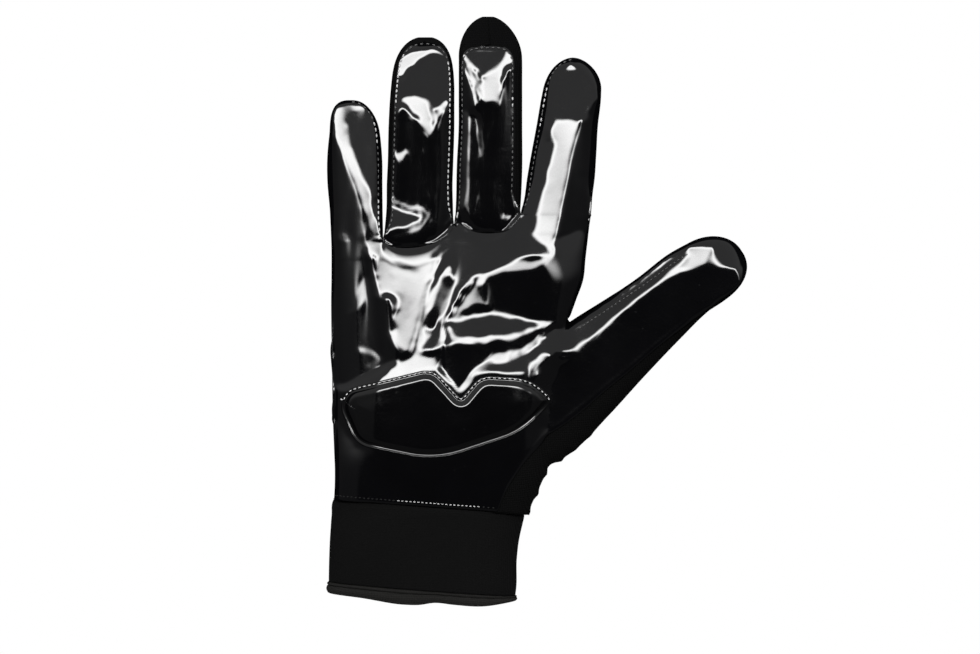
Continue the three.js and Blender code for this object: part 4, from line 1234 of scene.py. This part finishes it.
def tubeRun(start, tip, rings):
    # from start to just inside the tip, closer at the tip
    return start + (tip - start - back["inset"]) * crowded(np.linspace(0, 1, rings), tubeRuns["crowd"])


palmRun = np.linspace(tubeRuns["wrist"], tubeRuns["web"], tubeRuns["rings"])
palmInset = mix(back["inset"], back["webInset"], ease((palmRun[:, None] - 6) / 14))  # more towards the web
tubes = [closedTube(handParts(palmRun[:, None]), palmRun, hand["round"], sideInset=palmInset)]
for f in fingers.values():
    run = tubeRun(tubeRuns["finger"], f["tip"], tubeRuns["rings"])
    tubes.append(closedTube(fingerParts(f, run[:, None]), run, roundnessAt(f, run[:, None]),
                            sideInset=back["fingerInset"]))
run = tubeRun(tubeRuns["thumb"], thumb["tip"], tubeRuns["thumbRings"])
tubes.append(closedTube(thumbParts(run[:, None]), run, thumb["round"], place=thumbPlace))
for tube in tubes:  # leaned, so that the wrist's seam runs along the voxels
    tube[..., 1] -= cuffLine["slope"] * tube[..., 0]
backPiece = makeMesh("back_fabric", tubes, backKnit)
whole = backPiece.modifiers.new("join", "REMESH")
whole.mode = "VOXEL"
whole.voxel_size = back["voxel"] * mm
soft = backPiece.modifiers.new("soft", "SMOOTH")
soft.factor, soft.iterations = 0.5, 4
bake(backPiece)
p = pointsOf(backPiece.data)
p[:, 1] += cuffLine["slope"] * p[:, 0]
p[:, 2] += reliefAt(p[:, 0], p[:, 1]) * ease((p[:, 2] - 10) / 6)
for x, y in gather["places"]:
    near = np.exp(-((p[:, 0] - x) ** 2 + (p[:, 1] - y) ** 2) / gather["wide"] ** 2)
    p[:, :2] += near[:, None] * gather["out"] * np.array(gather["way"])
p[:, 2] = np.maximum(p[:, 2], back["rest"])
beyond = thumbSeamSide(p[:, 0], p[:, 1])
s, _ = thumbCoords(p[:, 0], p[:, 1])
front = np.where((s > 42) & (p[:, 0] > 12), back["thumbFront"], back["front"])
keep = (p[:, 2] < front) | (beyond > -back["tuck"])
keep &= p[:, 1] > cuffSeamAt(p[:, 0]) - back["cuffTuck"]
keepFaces(backPiece, keep, p)
thicken(backPiece, back["wall"])
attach(backPiece, "root")
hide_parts("back_panel")
print("back made", len(backPiece.data.vertices))


# The heel pad: rings run from its outline to a spine, and the height comes from the distance to the outline.
# A flat seam margin, a raised roll inside it, then a slightly crowned middle.
pad = {
    "margin": 1.7, "rise": 1.5, "roll": 1.3, "crown": 0.15, "crownWide": 12, "lift": 0.35, "under": 0.6,
    "bead": 0.35, "beadAt": 0.6, "beadWide": 0.5, "beadBelow": 0.09, "beadFrom": -38, "beadLength": 10,
    "sink": 0.8, "sinkWide": 0.35,
    "corners": [
        {"x": -84.4, "y": -41.6, "round": 4}, {"x": -81.8, "y": -33.6, "round": 5},
        {"x": -44.2, "y": -24.4, "round": 6}, {"x": -32.4, "y": -37.4, "round": 1.2},
        {"x": -24.2, "y": -27.6, "round": 5}, {"x": -2.4, "y": -28.8, "round": 8},
        {"x": 7.6, "y": -38.6, "round": 4}, {"x": -6.4, "y": -52.6, "round": 9},
        {"x": -43.0, "y": -64.6, "round": 12}, {"x": -77.0, "y": -57.8, "round": 6},
    ],
    "spine": [(-74, -45), (-55, -45), (-40, -47), (-32, -50), (-22, -45), (-8, -41), (-1, -40)],
    "around": 420, "rings": 44,
}


def roundedOutline(corners, count):
    # straight runs between the corners and a quadratic curve (1-t)^2 a + 2t(1-t) corner + t^2 b at each, then
    # spaced evenly by length
    pts = []
    n = len(corners)
    t = columnOf(14)
    for k, c in enumerate(corners):
        here = np.array([c["x"], c["y"]], float)
        before = np.array([corners[k - 1]["x"], corners[k - 1]["y"]], float) - here
        after = np.array([corners[(k + 1) % n]["x"], corners[(k + 1) % n]["y"]], float) - here
        a = here + before / np.linalg.norm(before) * c["round"]
        b = here + after / np.linalg.norm(after) * c["round"]
        pts.append((1 - t) ** 2 * a + 2 * t * (1 - t) * here + t**2 * b)
    pts = np.concatenate(pts)
    pts = np.concatenate([pts, pts[:1]])
    return evenly(pts, count)


def distanceTo(line, x, y):
    # least distance from each place to a polyline's points
    d = np.full(x.shape, far)
    for px, py in line:
        d = np.minimum(d, np.hypot(x - px, y - py))
    return d


padOutline = roundedOutline(pad["corners"], pad["around"])


def padHeight(x, y):
    # by the distance d to the outline: a low bead e^(-((d - at) / wide)^2), a flat stitched margin, the body
    # rise (1 - e^(-((d - margin) / roll)^2)), a slight crown, and the very edge pressed in
    d = distanceTo(padOutline[:-1], x, y)
    inside = np.clip(d - pad["margin"], 0, None)
    rise = pad["rise"] * (1 - np.exp(-((inside / pad["roll"]) ** 2)))
    bright = mix(pad["beadBelow"], 1, ease((pad["beadFrom"] - y) / pad["beadLength"]))
    bead = pad["bead"] * np.exp(-(((d - pad["beadAt"]) / pad["beadWide"]) ** 2)) * bright
    crown = pad["crown"] * ease(inside / pad["crownWide"])
    edge = pad["sink"] * np.exp(-((d / pad["sinkWide"]) ** 2))
    return palmTop(x, y) + reliefAt(x, y) + pad["lift"] + rise + bead + crown - edge


def padGrid():
    # rings from the outline to the spine: each point moves to the spine's height at its own x
    out = padOutline[None, :, :]
    spine = np.array(pad["spine"], float)
    spineY = np.interp(np.clip(out[..., 0], spine[0, 0], spine[-1, 0]), spine[:, 0], spine[:, 1])
    spineX = np.clip(out[..., 0], spine[0, 0], spine[-1, 0])
    r = columnOf(pad["rings"]) ** 1.5
    x = mix(out[..., 0], spineX, r)
    y = mix(out[..., 1], spineY, r)
    return x, y


x, y = padGrid()
top = np.stack([x, y, padHeight(x, y)], axis=-1)
low = np.stack([x, y, palmTop(x, y) + reliefAt(x, y) - pad["under"]], axis=-1)
rim = np.stack([top[0], low[0]])
padPiece = makeMesh("heel_pad_cover", [top, low[:, ::-1], rim[:, ::-1]], padGloss, flip=True)
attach(padPiece, "root")
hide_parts("heel_pad")
print("heel pad made")


# The cuff and the hem: rings round the wrist, the outside first, then over the edge and back inside
cuff = {
    "round": 2.6, "wall": 2.6, "around": 260, "gap": 0.35,
    "rows": [
        {"y": -124.5, "left": -89.2, "right": -9.4, "bottom": -0.5, "top": 31.0},
        {"y": -119.0, "left": -89.2, "right": -8.7, "bottom": -0.5, "top": 31.0},
        {"y": -107.0, "left": -89.0, "right": -8.5, "bottom": -0.5, "top": 30.9},
        {"y": -99.0, "left": -88.7, "right": -7.6, "bottom": -0.5, "top": 30.8},
        {"y": -88.0, "left": -88.0, "right": -5.1, "bottom": -0.5, "top": 30.5},
        {"y": -79.0, "left": -87.6, "right": -3.2, "bottom": -0.5, "top": 30.2},
    ],
    "hemTop": -116.4, "hemSlope": -0.075, "hemFrom": -89, "hemHigh": 5.0, "rings": 60, "insideRings": 14,
    "hemRows": [
        {"x": -91, "deep": 4.2}, {"x": -76, "deep": 4.4}, {"x": -56, "deep": 5.5}, {"x": -50, "deep": 5.2},
        {"x": -43, "deep": 4.0}, {"x": -34, "deep": 4.2}, {"x": -22, "deep": 4.1}, {"x": -9, "deep": 2.0},
    ],
}


def cuffRing(y, grow, angle):
    # superellipse of the cuff at y, moved out by grow, flattened where it rests
    left, right, low, high = edgesAt(cuff["rows"], y)
    level = (low + high) / 2
    x, z, _ = sectionPoint((left + right) / 2, (right - left) / 2 + grow, level, high - level + grow,
                           level - low + grow, angle, cuff["round"])
    return np.stack([x, y, np.maximum(z, 0.1 + np.clip(-grow, 0, None))], axis=-1)


def hemSlope(x):
    # the hem's upper edge falls towards the thumb's side, in a straight line
    return cuff["hemSlope"] * (x - cuff["hemFrom"])


def cuffTop(x):
    # the cuff's upper edge, a gap below its seam
    return cuffSeamAt(x) - cuff["gap"]


def cuffGrid():
    # outside from the hem up to the seam, over its edge, and down the inside. The outside has faint wrinkles
    # sin(0.9 y + 2.2 sin(x / 20)) near the seam, and its edge turns in by 0.9 e^(-d / 0.8).
    angle = np.linspace(0, 2 * np.pi, cuff["around"])[None, :]
    n, m = cuff["rings"], cuff["insideRings"]
    r = np.concatenate([np.linspace(0, 1, n), [1.0, 1.0], np.linspace(1, 0, m)])[:, None]
    out = np.concatenate([np.zeros(n), [-0.5, -cuff["wall"] + 0.5], np.full(m, -cuff["wall"])])[:, None]
    x = cuffRing(-100 + 0 * angle, 0 * angle, angle)[..., 0] + 0 * r
    y = mix(cuff["hemTop"] + hemSlope(x) + 0.2, cuffTop(x), r)
    wrinkle = 0.10 * np.sin(y * 0.9 + 2.2 * np.sin(x * 0.05)) * np.exp(-((y + 84) / 5) ** 2)
    edge = -0.9 * np.exp(-np.clip(cuffTop(x) - y, 0, None) / 0.8)
    grid = cuffRing(y, out + (wrinkle + edge) * (out > -0.1), angle)
    return np.concatenate([grid, grid[:1]])


def hemGrid():
    # a folded band: a round lower edge, then two folds, each a half wave sin(pi t), and a groove at the cuff
    angle = np.linspace(0, 2 * np.pi, cuff["around"])[None, :]
    t = np.linspace(0, 1, 40)
    faceOut = np.where(t < 0.66, 0.45 + 0.55 * np.sin(np.pi * np.clip(t / 0.66, 0, 1)) ** 0.8,
                       -0.15 + 0.85 * np.sin(np.pi * np.clip((t - 0.68) / 0.32, 0, 1)) ** 0.7)
    faceOut[-1] = -0.4
    low = np.linspace(-np.pi / 2, 0, 8)
    profile = [(0.9 * (1 + np.sin(a)) - 0.9, -1.6 + 2.15 * np.cos(a)) for a in low]
    profile += [(cuff["hemHigh"] * v, o) for v, o in zip(t, faceOut)]
    profile += [(up, -cuff["wall"]) for up in (cuff["hemHigh"], 3.0, 0.6)] + [(-0.7, -cuff["wall"] + 0.7)]
    rise = np.array([q[0] for q in profile])[:, None] + 0 * angle
    out = np.array([q[1] for q in profile])[:, None] + 0 * angle
    x = cuffRing(-118 + 0 * rise, 0 * rise, angle)[..., 0]
    y = cuff["hemTop"] + hemSlope(x) + (rise / cuff["hemHigh"] - 1) * table(cuff["hemRows"], "deep", x, "x")
    grid = cuffRing(y, out, angle)
    return np.concatenate([grid, grid[:1]])


for name, grid, finish, node, slot in (("cuff_cover", cuffGrid(), cuffKnit, "cuff", "cuff_knit"),
                                       ("hem_cover", hemGrid(), hemCloth, "cuff_hem", "hem_binding")):
    piece = makeMesh(name, [grid], finish)
    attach(piece, "root")
    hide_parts(node)
print("cuff made")


# Stitches: low capsules laid end to end along a seam, each pressed a little into the surface
stitch = {
    "sides": 6, "rings": 5, "lift": 0.1,
    "fingers": {"pitch": 2.3, "long": 1.5, "radius": 0.30},
    # size of the stitches in the runs given a painted highlight
    "bright": {"pitch": 2.3, "long": 1.7, "radius": 0.36},
    "thumb": {"pitch": 2.0, "long": 1.2, "radius": 0.24}, "pad": {"pitch": 2.2, "long": 1.3, "radius": 0.30},
    "wrist": {"pitch": 1.7, "long": 1.1, "radius": 0.24},
    "faceInset": 0.9, "sideInset": 1.2, "padInset": 1.0, "padLift": 0.08, "wristAbove": 1.6,
}


def stitchRow(path, pitch, long, radius):
    # path is (n, 3) on the surface. A stitch is a spindle whose ring k has radius r sin(pi k / m)
    run = np.linalg.norm(np.diff(path, axis=0), axis=1).sum()
    count = max(2, int(run / pitch))
    at = evenly(path, count * 2 + 1)
    mid, ahead = at[1::2], at[2::2] - at[:-1:2]
    ahead /= np.linalg.norm(ahead, axis=1, keepdims=True)
    side = np.cross(ahead, np.array([0, 0, 1.0]))
    side /= np.linalg.norm(side, axis=1, keepdims=True)
    up = np.cross(side, ahead)
    ring = np.linspace(0, np.pi, stitch["rings"])
    turn = np.linspace(0, 2 * np.pi, stitch["sides"] + 1)
    along = -np.cos(ring)[:, None] * long / 2 + 0 * turn
    size = np.sin(ring)[:, None] * radius
    grids = (mid[:, None, None, :] + along[None, ..., None] * ahead[:, None, None, :]
             + (size * np.cos(turn))[None, ..., None] * side[:, None, None, :]
             + (size * np.sin(turn))[None, ..., None] * up[:, None, None, :])
    return list(grids)


def addStitches(name, grids, finish):
    # one mesh of all the stitches in the list
    piece = makeMesh(name, grids, finish, flip=True)
    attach(piece, "root")


def faceSeamPath(name, side, inset):
    # along a front's edge, inset inside it, from the crotch to the tip: x = centre +- (share half - inset) cap
    f = fingers[name]
    tip = f["tip"] - face["inset"].get(name, 0.0) - inset
    y = mix(f["crotch"][side] + 3, tip, crowded(np.linspace(0, 1, 200), 2))
    centre, half, *_ = fingerParts(f, y)
    full = half / np.maximum(tipCap(f, y), tiny)
    share = seamShares(f, y)[side]
    x = centre + (-1 if side == 0 else 1) * np.clip(share * full - inset, 0, None) * frontCap(name, y, tip)
    z = fingerTop(f, x, y) + reliefAt(x, y)
    return np.stack([x, y, z + stitch["lift"]], axis=-1)


# where the stitches get a painted highlight, near-white thread, by finger and side: ranges of y
paintedGlintRanges = {
    ("ring", 0): [(88, 110)], ("ring", 1): [(41, 107)],
    ("middle", 0): [(38, 42)], ("middle", 1): [(40, 47), (86, 92)],
    ("index", 0): [(78, 83), (86, 96)], ("little", 1): [(32, 48), (71, 81)],
}


def runsOf(path, ranges):
    # the path cut into runs inside and outside the ranges of y, each with its flag
    inside = np.any([(path[:, 1] > low) & (path[:, 1] < high) for low, high in ranges], axis=0)
    cuts = np.flatnonzero(np.diff(inside.astype(int))) + 1
    return [(run, flag[0]) for run, flag in zip(np.split(path, cuts), np.split(inside, cuts)) if len(run) > 2]


# runs inside the ranges get the near-white thread, a painted highlight; the rest get the plain thread
plainGrids, paintedGlintGrids = [], []
for (name, side), ranges in paintedGlintRanges.items():
    inset = stitch["faceInset"] if name in face["inset"] else stitch["sideInset"]
    for run, bright in runsOf(faceSeamPath(name, side, inset), ranges):
        if bright:
            paintedGlintGrids += stitchRow(run, **stitch["bright"])
        else:
            plainGrids += stitchRow(run, **stitch["fingers"])
addStitches("finger_stitches", plainGrids, thread)
addStitches("finger_stitches_painted_glint", paintedGlintGrids, paintedGlintThread)

thumbEdge = evenly(onGlove([(577, 329), (603, 312), (643, 285), (670, 265), (687, 254)]), 200)
x, y = thumbEdge.T
thumbPath = np.stack([x, y, palmTop(x, y) + reliefAt(x, y) + stitch["lift"]], axis=-1)
addStitches("thumb_stitches", stitchRow(thumbPath, **stitch["thumb"]), thread)

# the pad's upper edge, between its two upper corners
corners = padOutline[:-1]
start = np.argmin(np.hypot(corners[:, 0] + 83, corners[:, 1] + 38))
end = np.argmin(np.hypot(corners[:, 0] - 6.5, corners[:, 1] + 39.5))
edgePath = corners[start:end] if start < end else np.concatenate([corners[start:], corners[:end]])
inward = np.gradient(edgePath, axis=0)
inward = np.stack([inward[:, 1], -inward[:, 0]], axis=-1)
inward /= np.linalg.norm(inward, axis=1, keepdims=True)
x, y = (edgePath + inward * stitch["padInset"]).T
padSeam = np.stack([x, y, padHeight(x, y) + stitch["padLift"]], axis=-1)
# the pad's stitches are in the near-white thread: a painted highlight
addStitches("pad_stitches", stitchRow(padSeam, **stitch["pad"]), paintedGlintThread)

x = np.linspace(-86.2, -17.5, 240)
y = cuffSeamAt(x) + stitch["wristAbove"]
wristSeam = np.stack([x, y, handTop(x, y) + reliefAt(x, y) + stitch["lift"]], axis=-1)
# the middle of the wrist seam is in the near-white thread, a painted highlight; its two ends are in a darker
# thread
for name, low, high, finish in (("left", -87, -60, darkThread), ("middle", -60, -24, paintedGlintThread),
                                ("right", -24, -17, darkThread)):
    run = wristSeam[(wristSeam[:, 0] > low) & (wristSeam[:, 0] < high)]
    addStitches("wrist_stitches_" + name, stitchRow(run, **stitch["wrist"]), finish)
print("stitches made")


# camera, floor and light
cam = bpy.data.cameras.new("camera")
cam.sensor_width = camera["sensor"]
cam.lens = camera["sensor"] * camera["away"] / (photo["wide"] * photo["mmPerPx"])
cameraObj = bpy.data.objects.new("camera", cam)
cameraObj.location = (camera["x"] * mm, camera["y"] * mm, camera["height"] * mm)
bpy.context.collection.objects.link(cameraObj)
bpy.context.scene.camera = cameraObj

floor = {"half": 3, "below": 0.0002}  # m
side = floor["half"]
floorMesh = bpy.data.meshes.new("floor")
corners = [(-side, -side, 0), (side, -side, 0), (side, side, 0), (-side, side, 0)]
floorMesh.from_pydata(corners, [], [(0, 1, 2, 3)])
floorObj = bpy.data.objects.new("floor", floorMesh)
bpy.context.collection.objects.link(floorObj)
floorFinish = Finish("floorFinish", Base_Color=grey(0.0), Roughness=1.0, Specular_IOR_Level=0.0,
                     Emission_Color=grey(1.0), Emission_Strength=1.0)
floorMesh.materials.append(floorFinish.material)
floorObj.location.z = -floor["below"]
floorObj.visible_glossy = False

world = bpy.data.worlds.new("world")
bpy.context.scene.world = world
world.use_nodes = True
sky = Nodes(world.node_tree)

# A studio with a dark ceiling above the camera: a bright ring towards the fingertips, and grey walls beyond
# it. Each pair is a ramp's two ends, in how far a direction leaves the vertical, from 0 to 1, or in its
# share towards the fingertips' side.
studio = {
    "horizon": (-0.05, 0.05),
    "ringIn": (0.17, 0.33), "ringOut": (0.31, 0.47), "ringNorth": (0.1, 0.8), "ringPower": 22.0,
    "wallsIn": (0.34, 0.44), "wallsNorth": (-0.1, 0.5), "wallsPower": (0.06, 0.50),
}
way = sky.add("TexCoord", output="Generated")
north, upward = sky.add("SeparateXYZ", inputs={"Vector": way}, output=("Y", "Z"))
lean = (1 - upward * upward).root()
toNorth = north / lean
above = sky.ramp(upward, *studio["horizon"])
ring = (sky.ramp(lean, *studio["ringIn"]) * sky.ramp(lean, *studio["ringOut"], 1.0, 0.0)
        * sky.ramp(toNorth, *studio["ringNorth"]))
walls = sky.ramp(lean, *studio["wallsIn"]) * sky.ramp(toNorth, *studio["wallsNorth"], *studio["wallsPower"])
background = sky.tree.nodes["Background"]
sky.plug(background.inputs["Color"], grey(1.0))
sky.plug(background.inputs["Strength"], (ring * studio["ringPower"] + walls) * above)
bpy.context.scene.view_settings.view_transform = "Standard"
